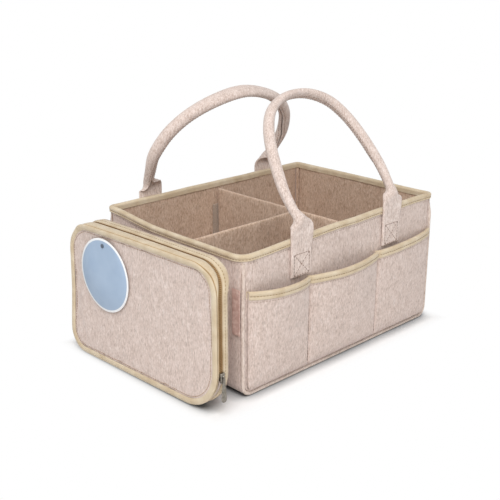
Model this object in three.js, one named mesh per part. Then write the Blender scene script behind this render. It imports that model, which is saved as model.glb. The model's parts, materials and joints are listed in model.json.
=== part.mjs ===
// A felt diaper caddy: an open box with outside pockets, two soft handles, two dividers
// that lift out, and a zip pouch held on one end by hook-and-loop strips.
// Millimetres, +Z up. The origin is the centre of the base underside, +X runs along the
// length, the pouch is on the -X end, and the front long side faces -Y.
import * as THREE from 'three';

// Box
const LENGTH = 360;
const WIDTH = 254;
const HEIGHT = 183;
const FELT = 4.5; // wall felt with its lining
const CORNER = 7; // upright corner radius, outside
const FOOT_RADIUS = 14; // lower corner radius of the long sides
const BOARD = 2.5; // stiffening board laid on the base
const SEAM = 0.3; // slack at every sewn or resting joint

// Binding tape
const TAPE = 0.9;
const RIM_DROP = 9; // how far the tape comes down the wall
const POCKET_DROP = 8;

// Outside pockets, three on each long side
const POCKET_FELT = 3;
const POCKET_TOP = 126; // height of the top edge at the inner seams
const POCKET_RISE = 7; // how much higher the edge is at the outer corners
const POCKET_SEAM_X = 67; // inner seams, either side of the middle
const POCKET_GAPE = 12; // how far the middle of a pocket stands open

// Handles
const TAB_WIDTH = 38;
const FRONT_TAB_X = 86; // middle of a tab from the middle of the box
const BACK_TAB_X = 108;
const TAB_FELT = 3.5;
const TAB_ABOVE_POCKET = 4; // lower end of a tab above the pocket edge
const TAB_BOTTOM = POCKET_TOP + TAB_ABOVE_POCKET;
const FOLD_HEIGHT = 190; // height of the fold line above the floor
const FOLD_OUT = 1.5; // fold line outside the tab's face
const FOLD_RADIUS = 1.7;
const NECK_WIDTH = 28;
const NECK_LENGTH = 34; // flat tab to round tube
const NECK_SLIT = 0.8; // hollow left in the flat neck
const FRONT_HANDLE_DIAMETER = 15;
const BACK_HANDLE_DIAMETER = 18;
const HANDLE_WALL = 3;
const FRONT_LEAN = 36; // degrees inward from upright
const BACK_LEAN = 29;
// Half of each arch, as (from the middle, up from the fold line)
const FRONT_ARCH = [
  [FRONT_TAB_X, 0], [90, 24], [91, 48], [88, 70], [82, 98], [71, 127], [54, 150], [28, 164], [0, 168],
];
const BACK_ARCH = [
  [BACK_TAB_X, 0], [113, 12], [117, 34], [120, 58], [114, 82], [104, 100], [83, 120], [46, 138], [0, 147],
];

// Dividers
const DIVIDER_FELT = 4.5;
const DIVIDER_DROP = 10; // top edge below the rim
const CROSS_X = 6;
const LONG_Y = -36;
const STRIP = 1.5; // hook or loop strip
const STRIP_WIDTH = 20;
const STRIP_LENGTH = 120;
const STRIP_HEIGHT = 30; // lower end of a divider's strips

// Zip pouch
const POUCH_WIDTH = 281;
const POUCH_HEIGHT = 179;
const POUCH_RADIUS = 36; // upper corners
const POUCH_FOOT_RADIUS = 44; // lower corners
const POUCH_SHIFT = -2.1; // pouch middle along Y
const POUCH_LIFT = 1; // underside above the floor
const PAN_DEPTH = 31; // crown of the padded back
const PAN_INSET = 50; // slope from the edge to the flat of the back
const PAN_FELT = 3.5;
const PAN_CURVE = 1.4; // roundness of the crown
const FRONT_BINDING_DEPTH = 4.4;
const BACK_BINDING_DEPTH = 7;
const BINDING_THICK = 3;
const BINDING_FACE = 7; // tape showing on the front face
const ZIP_TAPE = 3.2; // depth of each half of the zip
const ZIP_THICK = 1.2;
const ZIP_INSET = 1.2; // zip below the bindings
const ZIP_END = 46; // lower ends of the zip above the pouch underside
const LID_FELT = 4;
const SPINE_DEPTH = 3.4;
const POUCH_STRIP_LENGTH = 150;
const POUCH_STRIP_WIDTH = 22;
const POUCH_STRIP_SPACING = 49;

// Zip slider and pull
const SLIDER = { width: 6.4, thick: 3.4, length: 13 };
const SLIDER_Z = 49;
const PULL = { width: 6, thick: 1.2, length: 30 };
const PULL_HEAD = 0.8; // pull above its axle
const PULL_STANDOFF = 1.1; // axle outside the slider

// Swing tag and its pin
const TAG_DIAMETER = 94;
const TAG_THICK = 0.8;
const TAG_Y = 53;
const TAG_Z = 121;
const TAG_HOLE = 4;
const TAG_HOLE_RISE = 38; // hole above the tag's middle
const PIN_DIAMETER = 2.8;
const PIN_HEAD = 5.4;
const PIN_HEAD_THICK = 1.2;

// Side label
const LABEL = { width: 13, height: 56, thick: 1, z: 107 };
const LABEL_EDGE = 2; // from the front face back to the label's near edge

const ARC_STEPS = 5;
const FELT_COLOUR = '#cfbeb3';
const TAPE_COLOUR = '#d6c2a4';
const ROUGH_CLOTH = 0.95;

const wallTop = HEIGHT - TAPE - SEAM;
const panelHalf = LENGTH / 2 - CORNER - SEAM;
const tapeStand = TAPE + 2 * SEAM; // tape leg with its slack on both sides

function finish(color, roughness, metalness = 0) {
  return new THREE.MeshStandardMaterial({ color, roughness, metalness });
}

function cloth(color) {
  return finish(color, ROUGH_CLOTH);
}

function add(group, name, geometry, material) {
  const mesh = new THREE.Mesh(geometry, material);
  mesh.name = name;
  group.add(mesh);
}

// Triangles of a flat ring of points, wound the way the ring runs.
function capTriangles(ring) {
  const normal = new THREE.Vector3();
  ring.forEach((p, i) => normal.add(new THREE.Vector3().crossVectors(p, ring[(i + 1) % ring.length])));
  const across = new THREE.Vector3().subVectors(ring[1], ring[0]).normalize();
  const up = new THREE.Vector3().crossVectors(normal, across).normalize();
  const flat = ring.map((p) => new THREE.Vector2(p.dot(across), p.dot(up)));
  return THREE.ShapeUtils.triangulateShape(flat, []).map(([a, b, c]) => {
    const first = new THREE.Vector2().subVectors(flat[b], flat[a]);
    const second = new THREE.Vector2().subVectors(flat[c], flat[a]);
    return first.cross(second) > 0 ? [a, b, c] : [a, c, b];
  });
}

function signedVolume(points, triangles) {
  return triangles.reduce((sum, [a, b, c]) => {
    return sum + points[a].dot(new THREE.Vector3().crossVectors(points[b], points[c])) / 6;
  }, 0);
}

// A closed skin over rings of equally many points. A loop joins the last ring to the
// first; otherwise both end rings are capped. Faces are turned to point outwards.
function loft(rings, loop = false) {
  const size = rings[0].length;
  const points = rings.flat();
  const triangles = [];
  const spans = loop ? rings.length : rings.length - 1;
  for (let r = 0; r < spans; r += 1) {
    const here = r * size;
    const next = ((r + 1) % rings.length) * size;
    for (let i = 0; i < size; i += 1) {
      const j = (i + 1) % size;
      triangles.push([here + i, here + j, next + j], [here + i, next + j, next + i]);
    }
  }
  if (!loop) {
    const last = points.length - size;
    const lastRing = rings[rings.length - 1];
    capTriangles(rings[0]).forEach(([a, b, c]) => triangles.push([a, c, b]));
    capTriangles(lastRing).forEach((corners) => triangles.push(corners.map((i) => last + i)));
  }
  const inward = signedVolume(points, triangles) < 0;
  const geometry = new THREE.BufferGeometry().setFromPoints(points);
  geometry.setIndex(triangles.flatMap(([a, b, c]) => (inward ? [a, c, b] : [a, b, c])));
  return geometry;
}

function box(x, y, z) {
  const geometry = new THREE.BoxGeometry(x[1] - x[0], y[1] - y[0], z[1] - z[0]);
  return geometry.translate((x[0] + x[1]) / 2, (y[0] + y[1]) / 2, (z[0] + z[1]) / 2);
}

// A flat outline in x and z, thickened from y to y + depth.
function uprightAlongY(shape, y, depth) {
  const geometry = new THREE.ExtrudeGeometry(shape, { depth, bevelEnabled: false, curveSegments: ARC_STEPS });
  return geometry.rotateX(Math.PI / 2).translate(0, y + depth, 0);
}

// A flat outline in y and z, thickened from x to x + depth.
function uprightAlongX(shape, x, depth, curveSegments) {
  const geometry = new THREE.ExtrudeGeometry(shape, { depth, bevelEnabled: false, curveSegments });
  const turn = new THREE.Matrix4().makeBasis(
    new THREE.Vector3(0, 1, 0),
    new THREE.Vector3(0, 0, 1),
    new THREE.Vector3(1, 0, 0),
  );
  return geometry.applyMatrix4(turn).translate(x, 0, 0);
}

// Points and outward directions on a quarter arc, from one angle on by a right angle.
function quarter(cx, cy, radius, from, steps = ARC_STEPS) {
  return Array.from({ length: steps + 1 }, (_, i) => {
    const angle = from + (Math.PI / 2) * (i / steps);
    const nx = Math.cos(angle);
    const ny = Math.sin(angle);
    return { x: cx + radius * nx, y: cy + radius * ny, nx, ny };
  });
}

// A rounded rectangle about the origin, run anticlockwise from its right side's upper end.
function roundedRect(width, height, radius, steps, footRadius = radius) {
  const x = width / 2;
  const y = height / 2;
  return [
    ...quarter(x - radius, y - radius, radius, 0, steps),
    ...quarter(radius - x, y - radius, radius, Math.PI / 2, steps),
    ...quarter(footRadius - x, footRadius - y, footRadius, Math.PI, steps),
    ...quarter(x - footRadius, footRadius - y, footRadius, 1.5 * Math.PI, steps),
  ];
}

function outline(points) {
  return new THREE.Shape(points.map((p) => new THREE.Vector2(p.x, p.y)));
}

// Box: long panels, end panels, base and the board on it
function longPanelShape() {
  const radius = FOOT_RADIUS - CORNER - SEAM;
  const bottom = CORNER + SEAM;
  const shape = new THREE.Shape();
  shape.moveTo(-panelHalf, wallTop);
  shape.lineTo(-panelHalf, bottom + radius);
  shape.absarc(-panelHalf + radius, bottom + radius, radius, Math.PI, 1.5 * Math.PI);
  shape.absarc(panelHalf - radius, bottom + radius, radius, 1.5 * Math.PI, 2 * Math.PI);
  shape.lineTo(panelHalf, wallTop);
  return shape;
}

function endPanel(side) {
  const cx = LENGTH / 2 - FOOT_RADIUS;
  const outer = quarter(cx, FOOT_RADIUS, FOOT_RADIUS, 1.5 * Math.PI);
  const inner = quarter(cx, FOOT_RADIUS, FOOT_RADIUS - FELT, 1.5 * Math.PI).reverse();
  const section = [
    ...outer,
    { x: LENGTH / 2, y: wallTop },
    { x: LENGTH / 2 - FELT, y: wallTop },
    ...inner,
  ].map((p) => ({ x: side * p.x, y: p.y }));
  const half = WIDTH / 2 - CORNER - SEAM;
  return uprightAlongY(outline(section), -half, 2 * half);
}

// The quarter-round felt binding that joins a long panel to the ends and the base: its
// section is carried down one side, along the bottom and up the other side.
function edgeBinding(side) {
  const radius = FOOT_RADIUS - CORNER;
  const half = LENGTH / 2 - CORNER;
  const centre = WIDTH / 2 - CORNER;
  const route = [
    { x: -half, y: wallTop, nx: -1, ny: 0 },
    ...quarter(-half + radius, CORNER + radius, radius, Math.PI),
    ...quarter(half - radius, CORNER + radius, radius, 1.5 * Math.PI),
    { x: half, y: wallTop, nx: 1, ny: 0 },
  ];
  const section = [
    ...quarter(0, 0, CORNER, 0),
    ...quarter(0, 0, CORNER - FELT, 0).reverse(),
  ];
  return loft(route.map((at) => section.map((p) => {
    return new THREE.Vector3(at.x + at.nx * p.x, side * (centre + p.y), at.y + at.ny * p.x);
  })));
}

// Tape folded over an edge, as (out from the outer face, up) about a sheet of this thickness.
function foldedTape(sheet, drop) {
  const out = SEAM + TAPE;
  return [
    [SEAM, -drop], [out, -drop], [out, 0], [-sheet - out, 0],
    [-sheet - out, -drop], [-sheet - SEAM, -drop], [-sheet - SEAM, -TAPE], [SEAM, -TAPE],
  ];
}

function rimBinding() {
  const section = foldedTape(FELT, RIM_DROP);
  const rings = roundedRect(LENGTH, WIDTH, CORNER).map((at) => section.map(([out, up]) => {
    return new THREE.Vector3(at.x + at.nx * out, at.y + at.ny * out, HEIGHT + up);
  }));
  return loft(rings, true);
}

const caddy = new THREE.Group();
const baseHalf = WIDTH / 2 - CORNER - SEAM;
add(caddy, 'base_panel', box(
  [-(LENGTH / 2 - FOOT_RADIUS - SEAM), LENGTH / 2 - FOOT_RADIUS - SEAM], [-baseHalf, baseHalf], [0, FELT],
), cloth(FELT_COLOUR));
const boardTop = FELT + SEAM + BOARD;
add(caddy, 'base_board', box(
  [-(LENGTH / 2 - FOOT_RADIUS), LENGTH / 2 - FOOT_RADIUS], [-baseHalf, baseHalf], [FELT + SEAM, boardTop],
), cloth('#b7a598'));
add(caddy, 'front_panel', uprightAlongY(longPanelShape(), -WIDTH / 2, FELT), cloth(FELT_COLOUR));
add(caddy, 'back_panel', uprightAlongY(longPanelShape(), WIDTH / 2 - FELT, FELT), cloth(FELT_COLOUR));
add(caddy, 'left_end_panel', endPanel(-1), cloth(FELT_COLOUR));
add(caddy, 'right_end_panel', endPanel(1), cloth(FELT_COLOUR));
add(caddy, 'front_edge_binding', edgeBinding(-1), cloth('#d9c8ba'));
add(caddy, 'back_edge_binding', edgeBinding(1), cloth('#d9c8ba'));
add(caddy, 'rim_binding', rimBinding(), cloth(TAPE_COLOUR));

// Pockets: one wide panel sewn on at its sides, its bottom and two inner seams, so that it
// stands open as three pockets
const POCKET_COLUMNS = 8;
const POCKET_ROWS = 5;
const pocketEdges = [-panelHalf, -POCKET_SEAM_X, POCKET_SEAM_X, panelHalf];

function pocketStations() {
  return pocketEdges.slice(0, -1).flatMap((from, bay) => {
    const to = pocketEdges[bay + 1];
    const count = bay === 2 ? POCKET_COLUMNS + 1 : POCKET_COLUMNS;
    return Array.from({ length: count }, (_, i) => {
      const share = i / POCKET_COLUMNS;
      const x = from + (to - from) * share;
      const rise = Math.max(0, Math.abs(x) - POCKET_SEAM_X) / (panelHalf - POCKET_SEAM_X);
      return { x, top: POCKET_TOP + POCKET_RISE * rise, gape: POCKET_GAPE * 4 * share * (1 - share) };
    });
  });
}

function pocketBottom(x) {
  const radius = FOOT_RADIUS - CORNER - SEAM;
  const past = Math.max(0, Math.abs(x) - (panelHalf - radius));
  return CORNER + SEAM + radius - Math.sqrt(Math.max(0, radius * radius - past * past));
}

// How far the back of the pocket panel is from the middle of the box, up its height.
function pocketBack(gape, share) {
  return WIDTH / 2 + tapeStand + gape * Math.sin((Math.PI / 2) * share);
}

function pocketPanel(side) {
  return loft(pocketStations().map(({ x, top, gape }) => {
    const bottom = pocketBottom(x);
    const edge = top - TAPE - SEAM;
    const heights = Array.from({ length: POCKET_ROWS + 1 }, (_, i) => i / POCKET_ROWS);
    const face = (extra) => heights.map((share) => {
      return new THREE.Vector3(x, side * (pocketBack(gape, share) + extra), bottom + (edge - bottom) * share);
    });
    return [...face(POCKET_FELT), ...face(0).reverse()];
  }));
}

function pocketBinding(side) {
  const section = foldedTape(POCKET_FELT, POCKET_DROP);
  return loft(pocketStations().map(({ x, top, gape }) => {
    const outer = pocketBack(gape, 1) + POCKET_FELT;
    return section.map(([out, up]) => new THREE.Vector3(x, side * (outer + out), top + up));
  }));
}

add(caddy, 'front_pocket_panel', pocketPanel(-1), cloth(FELT_COLOUR));
add(caddy, 'back_pocket_panel', pocketPanel(1), cloth(FELT_COLOUR));
add(caddy, 'front_pocket_binding', pocketBinding(-1), cloth(TAPE_COLOUR));
add(caddy, 'back_pocket_binding', pocketBinding(1), cloth(TAPE_COLOUR));

// Handle tabs: flat felt ends sewn to the outside of the wall over the rim tape. The top
// of each turns outward to the fold line that its handle swings about.
const tabOuter = WIDTH / 2 + tapeStand + TAB_FELT;
const foldY = tabOuter + FOLD_OUT;

function handleTab(side, x) {
  const inner = -FOLD_OUT - TAB_FELT;
  const outer = -FOLD_OUT;
  const turn = FOLD_RADIUS / Math.SQRT2;
  const shoulder = TAB_BOTTOM + TAB_WIDTH + (HEIGHT - TAB_BOTTOM - TAB_WIDTH) / 2 - FOLD_HEIGHT;
  const stations = [
    [[inner, TAB_BOTTOM - FOLD_HEIGHT], [outer, TAB_BOTTOM - FOLD_HEIGHT], TAB_WIDTH],
    [[inner, shoulder], [outer, shoulder], TAB_WIDTH],
    [[inner, (shoulder - TAB_FELT) / 2], [outer, (shoulder - TAB_FELT) / 2], (TAB_WIDTH + NECK_WIDTH) / 2],
    [[inner, -2 * FOLD_RADIUS], [outer, -2 * FOLD_RADIUS], NECK_WIDTH],
    [[-FOLD_RADIUS - FOLD_OUT / 2, 0], [0, -FOLD_RADIUS], NECK_WIDTH],
    [[-turn, turn], [turn, -turn], NECK_WIDTH],
    [[0, FOLD_RADIUS], [FOLD_RADIUS, 0], NECK_WIDTH],
  ];
  return loft(stations.map(([a, b, width]) => [
    new THREE.Vector3(x - width / 2, side * (foldY + a[0]), FOLD_HEIGHT + a[1]),
    new THREE.Vector3(x + width / 2, side * (foldY + a[0]), FOLD_HEIGHT + a[1]),
    new THREE.Vector3(x + width / 2, side * (foldY + b[0]), FOLD_HEIGHT + b[1]),
    new THREE.Vector3(x - width / 2, side * (foldY + b[0]), FOLD_HEIGHT + b[1]),
  ]));
}

for (const [face, side, tabX] of [['front', -1, FRONT_TAB_X], ['back', 1, BACK_TAB_X]]) {
  add(caddy, `${face}_left_handle_tab`, handleTab(side, -tabX), cloth('#d8c6bb'));
  add(caddy, `${face}_right_handle_tab`, handleTab(side, tabX), cloth('#d8c6bb'));
}

// Label sewn into the near corner seam, and the loop strips that hold the pouch
const endX = -LENGTH / 2;
const labelY = -WIDTH / 2 + LABEL_EDGE;
add(caddy, 'side_label', box(
  [endX - SEAM - LABEL.thick, endX - SEAM],
  [labelY, labelY + LABEL.width],
  [LABEL.z - LABEL.height / 2, LABEL.z + LABEL.height / 2],
), finish('#b48f82', 0.6));

const pouchMiddle = POUCH_LIFT + POUCH_HEIGHT / 2;

function pouchStrip(outerX, level) {
  const z = pouchMiddle + level * POUCH_STRIP_SPACING / 2;
  return box(
    [outerX - STRIP, outerX],
    [POUCH_SHIFT - POUCH_STRIP_LENGTH / 2, POUCH_SHIFT + POUCH_STRIP_LENGTH / 2],
    [z - POUCH_STRIP_WIDTH / 2, z + POUCH_STRIP_WIDTH / 2],
  );
}

const loopX = endX - SEAM;
const hookX = loopX - STRIP - SEAM;
for (const [place, level] of [['upper', 1], ['lower', -1]]) {
  add(caddy, `${place}_loop_strip`, pouchStrip(loopX, level), cloth('#bfae9f'));
}

// Handles: a rolled felt sleeve, flat at both ends and round between, over a soft core
const HANDLE_SIDES = 12;
const HANDLE_STEPS = 15; // along half of the arch

// Stations along the whole arch: place, direction across, and how round the tube is there.
function handleStations(arch) {
  const half = arch.map(([x, up]) => new THREE.Vector3(x, up, 0));
  const whole = [...half.map((p) => new THREE.Vector3(-p.x, p.y, 0)), ...half.slice(0, -1).reverse()];
  const curve = new THREE.CatmullRomCurve3(whole, false, 'centripetal');
  const length = curve.getLength();
  const first = (FOLD_RADIUS + SEAM) / length;
  return Array.from({ length: 2 * HANDLE_STEPS + 1 }, (_, i) => {
    const share = first + (1 - 2 * first) * (i / (2 * HANDLE_STEPS));
    const place = curve.getPointAt(share);
    const along = curve.getTangentAt(share);
    const fromEnd = Math.min(share, 1 - share) * length;
    const round = THREE.MathUtils.smoothstep(fromEnd, FOLD_RADIUS + SEAM, NECK_LENGTH);
    const atFold = i % (2 * HANDLE_STEPS) === 0;
    const across = atFold ? new THREE.Vector2(Math.sign(along.y), 0) : new THREE.Vector2(along.y, -along.x);
    return { x: place.x, up: place.y, across, round };
  });
}

function handleRing(station, halfAcross, halfThrough, side, lean) {
  const inward = THREE.MathUtils.degToRad(lean);
  return Array.from({ length: HANDLE_SIDES }, (_, i) => {
    const angle = (2 * Math.PI * i) / HANDLE_SIDES;
    const across = halfAcross * Math.cos(angle);
    const through = halfThrough * Math.sin(angle);
    const x = station.x + station.across.x * across;
    const up = station.up + station.across.y * across;
    const out = foldY - up * Math.sin(inward) + through * Math.cos(inward);
    return new THREE.Vector3(x, side * out, FOLD_HEIGHT + up * Math.cos(inward) + through * Math.sin(inward));
  });
}

function handleSleeve(stations, side, lean, diameter) {
  const radius = diameter / 2;
  const bore = radius - HANDLE_WALL;
  const mix = THREE.MathUtils.lerp;
  const outer = stations.map((at) => handleRing(
    at, mix(NECK_WIDTH / 2, radius, at.round), mix(TAB_FELT / 2, radius, at.round), side, lean,
  ));
  const inner = stations.map((at) => handleRing(
    at, mix(NECK_WIDTH / 2 - HANDLE_WALL, bore, at.round), mix(NECK_SLIT / 2, bore, at.round), side, lean,
  ));
  return loft([...outer, ...inner.reverse()], true);
}

function handleCore(stations, side, lean, diameter) {
  const radius = diameter / 2 - HANDLE_WALL - SEAM;
  const tube = stations.filter((at) => at.round === 1);
  return loft(tube.map((at) => handleRing(at, radius, radius, side, lean)));
}

const handles = new THREE.Group();
for (const [face, side, arch, lean, diameter] of [
  ['front', -1, FRONT_ARCH, FRONT_LEAN, FRONT_HANDLE_DIAMETER],
  ['back', 1, BACK_ARCH, BACK_LEAN, BACK_HANDLE_DIAMETER],
]) {
  const stations = handleStations(arch);
  add(handles, `${face}_handle_sleeve`, handleSleeve(stations, side, lean, diameter), cloth('#dfd0c6'));
  add(handles, `${face}_handle_core`, handleCore(stations, side, lean, diameter), cloth('#efe9df'));
}

// Dividers: felt panels that stand on the board, with hook strips on their ends that grip
// the lining. They stay clear of the rim tape, so they lift straight out.
const dividers = new THREE.Group();
const dividerZ = [boardTop + SEAM, HEIGHT - DIVIDER_DROP];
const stripZ = [STRIP_HEIGHT, STRIP_HEIGHT + STRIP_LENGTH];
const stripHalf = STRIP_WIDTH / 2;
const gripY = WIDTH / 2 - FELT - tapeStand;
const gripX = endX + FELT + tapeStand;
const crossHalf = gripY - STRIP - SEAM;
const crossX = [CROSS_X - DIVIDER_FELT / 2, CROSS_X + DIVIDER_FELT / 2];
const crossStripX = [CROSS_X - stripHalf, CROSS_X + stripHalf];
const longStripY = [LONG_Y - stripHalf, LONG_Y + stripHalf];
const longEnd = crossX[0] - SEAM;
const longX = [gripX + STRIP + SEAM, longEnd - STRIP - SEAM];
const longY = [LONG_Y - DIVIDER_FELT / 2, LONG_Y + DIVIDER_FELT / 2];
for (const [name, geometry] of [
  ['cross_divider_panel', box(crossX, [-crossHalf, crossHalf], dividerZ)],
  ['long_divider_panel', box(longX, longY, dividerZ)],
]) {
  add(dividers, name, geometry, cloth('#c4b1a3'));
}
for (const [name, geometry] of [
  ['cross_divider_front_strip', box(crossStripX, [-gripY, -gripY + STRIP], stripZ)],
  ['cross_divider_back_strip', box(crossStripX, [gripY - STRIP, gripY], stripZ)],
  ['long_divider_end_strip', box([gripX, gripX + STRIP], longStripY, stripZ)],
  ['long_divider_cross_strip', box([longEnd - STRIP, longEnd], longStripY, stripZ)],
]) {
  add(dividers, name, geometry, cloth('#b9a797'));
}

// Pouch: its layers are stacked outward from the end wall
const POUCH_ARC_STEPS = 6;
const PAN_STEPS = 5;
const panX = hookX - STRIP - SEAM;
const rimX = panX - PAN_DEPTH;
const backBindingX = rimX - SEAM;
const backZipX = backBindingX - BACK_BINDING_DEPTH - SEAM;
const frontZipX = backZipX - ZIP_TAPE - SEAM;
const frontBindingX = frontZipX - ZIP_TAPE - SEAM;
const faceX = frontBindingX - FRONT_BINDING_DEPTH;
const lidX = faceX + TAPE + SEAM;

// The pouch outline, drawn in by an inset that tightens its corners, as stations in y and z.
function pouchStations(inset, tighten = inset) {
  const width = POUCH_WIDTH - 2 * inset;
  const height = POUCH_HEIGHT - 2 * inset;
  return roundedRect(width, height, POUCH_RADIUS - tighten, POUCH_ARC_STEPS, POUCH_FOOT_RADIUS - tighten);
}

function pouchPoint(at, x, inward = 0) {
  return new THREE.Vector3(x, POUCH_SHIFT + at.x - at.nx * inward, pouchMiddle + at.y - at.ny * inward);
}

// The padded back: a dished shell that crowns from its edge to a flat that meets the wall.
function pouchBack() {
  const rings = (edge, depth) => Array.from({ length: PAN_STEPS + 1 }, (_, i) => {
    const share = i / PAN_STEPS;
    const inset = edge + (PAN_INSET - edge) * share;
    const rise = depth * (1 - (1 - share) ** PAN_CURVE);
    return pouchStations(inset, inset / 3).map((at) => pouchPoint(at, rimX + rise));
  });
  return loft([...rings(SEAM + PAN_FELT, PAN_DEPTH - PAN_FELT).reverse(), ...rings(SEAM, PAN_DEPTH)]);
}

// A binding ring on the pouch edge, as a section in (x, inward from the outline).
function pouchRing(section) {
  return loft(pouchStations(0).map((at) => section.map(([x, inward]) => pouchPoint(at, x, inward))), true);
}

function backBinding() {
  const front = backBindingX - BACK_BINDING_DEPTH;
  return pouchRing([[backBindingX, 0], [front, 0], [front, BINDING_THICK], [backBindingX, BINDING_THICK]]);
}

function frontBinding() {
  return pouchRing([
    [frontBindingX, 0], [faceX, 0], [faceX, BINDING_FACE], [faceX + TAPE, BINDING_FACE],
    [faceX + TAPE, BINDING_THICK], [frontBindingX, BINDING_THICK],
  ]);
}

// The outline's stretch above the zip's lower ends, or the stretch below them.
function pouchStretch(above) {
  const level = ZIP_END - POUCH_HEIGHT / 2;
  const half = POUCH_WIDTH / 2;
  const end = (sign, z) => ({ x: sign * half, y: z, nx: sign, ny: 0 });
  const ring = pouchStations(0);
  if (above) {
    return [end(1, level), ...ring.slice(0, ring.length / 2), end(-1, level)];
  }
  return [end(-1, level - SEAM), ...ring.slice(ring.length / 2), end(1, level - SEAM)];
}

function edgeStrip(above, x, depth) {
  const inner = ZIP_INSET + ZIP_THICK;
  const section = [[x, ZIP_INSET], [x - depth, ZIP_INSET], [x - depth, inner], [x, inner]];
  return loft(pouchStretch(above).map((at) => section.map(([sx, inward]) => pouchPoint(at, sx, inward))));
}

function lidPanel() {
  const inset = BINDING_THICK + SEAM;
  const ring = pouchStations(inset).map((at) => ({ x: POUCH_SHIFT + at.x, y: pouchMiddle + at.y }));
  return uprightAlongX(outline(ring), lidX, LID_FELT);
}

const pouch = new THREE.Group();
for (const [place, level] of [['upper', 1], ['lower', -1]]) {
  add(pouch, `${place}_hook_strip`, pouchStrip(hookX, level), cloth('#a8978a'));
}
add(pouch, 'pouch_back_panel', pouchBack(), cloth(FELT_COLOUR));
add(pouch, 'pouch_back_binding', backBinding(), cloth(TAPE_COLOUR));
add(pouch, 'pouch_back_zip_tape', edgeStrip(true, backZipX, ZIP_TAPE), cloth('#a98a63'));
add(pouch, 'pouch_spine', edgeStrip(false, backZipX, SPINE_DEPTH), cloth(FELT_COLOUR));
add(pouch, 'pouch_front_panel', lidPanel(), cloth('#d1c0b5'));
add(pouch, 'pouch_front_binding', frontBinding(), cloth(TAPE_COLOUR));
add(pouch, 'pouch_front_zip_tape', edgeStrip(true, frontZipX, ZIP_TAPE), cloth('#a98a63'));

// Zip slider in the groove between the bindings, on the near side, and the pull that hangs from it
const sliderX = frontZipX + SEAM / 2;
const sliderInner = POUCH_SHIFT - POUCH_WIDTH / 2 + ZIP_INSET - SEAM;
const sliderOuter = sliderInner - SLIDER.thick;
const pullY = sliderOuter - PULL_STANDOFF;

function zipSlider() {
  const nose = SLIDER.width / 4;
  const half = SLIDER.width / 2;
  const end = SLIDER.length / 2;
  const corners = [
    [-half, -end + nose], [-nose, -end], [nose, -end], [half, -end + nose], [half, end], [-half, end],
  ];
  const shape = outline(corners.map(([x, z]) => ({ x: sliderX + x, y: SLIDER_Z + z })));
  return uprightAlongY(shape, sliderOuter, SLIDER.thick);
}

function zipPull() {
  const half = PULL.width / 2;
  const low = SLIDER_Z + PULL_HEAD - PULL.length + half;
  const shape = new THREE.Shape();
  shape.moveTo(sliderX + half / 2, SLIDER_Z + PULL_HEAD);
  shape.lineTo(sliderX - half / 2, SLIDER_Z + PULL_HEAD);
  shape.lineTo(sliderX - half, low);
  shape.absarc(sliderX, low, half, Math.PI, 2 * Math.PI);
  return uprightAlongY(shape, pullY - PULL.thick / 2, PULL.thick);
}

const metal = finish('#a39684', 0.35, 1);
add(pouch, 'zip_slider', zipSlider(), metal);
add(pouch, 'zip_pull', zipPull(), finish('#b3a692', 0.35, 1));

// Swing tag: a round card hung on a pin through the pouch front
const TAG_STEPS = 24;
const tagX = lidX - SEAM - TAG_THICK;
const pinZ = TAG_Z + TAG_HOLE_RISE;

function swingTag() {
  const shape = new THREE.Shape();
  shape.absarc(TAG_Y, TAG_Z, TAG_DIAMETER / 2, 0, 2 * Math.PI);
  const hole = new THREE.Path();
  hole.absarc(TAG_Y, pinZ, TAG_HOLE / 2, 0, 2 * Math.PI);
  shape.holes.push(hole);
  return uprightAlongX(shape, tagX, TAG_THICK, TAG_STEPS);
}

function tagPin() {
  const shaft = TAG_THICK + SEAM;
  const profile = [
    [0, 0], [PIN_DIAMETER / 2, 0], [PIN_DIAMETER / 2, shaft], [PIN_HEAD / 2, shaft],
    [PIN_HEAD / 2, shaft + PIN_HEAD_THICK / 2], [PIN_HEAD / 4, shaft + PIN_HEAD_THICK],
    [0, shaft + PIN_HEAD_THICK],
  ].map(([r, h]) => new THREE.Vector2(r, h));
  const geometry = new THREE.LatheGeometry(profile, TAG_STEPS / 2);
  return geometry.rotateZ(Math.PI / 2).translate(lidX - SEAM, TAG_Y, pinZ);
}

add(pouch, 'tag_pin', tagPin(), finish('#4f5866', 0.5));
add(pouch, 'swing_tag', swingTag(), finish('#a5bad3', 0.6));

const diaperCaddy = new THREE.Group();
diaperCaddy.add(caddy, handles, dividers, pouch);

export default diaperCaddy;
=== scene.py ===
"""A felt diaper caddy: an open box with outside pockets, two rolled handles, lift-out dividers
and a zip pouch on one end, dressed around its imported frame. Metres, +Z up, front towards -Y."""
import json
import math

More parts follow.
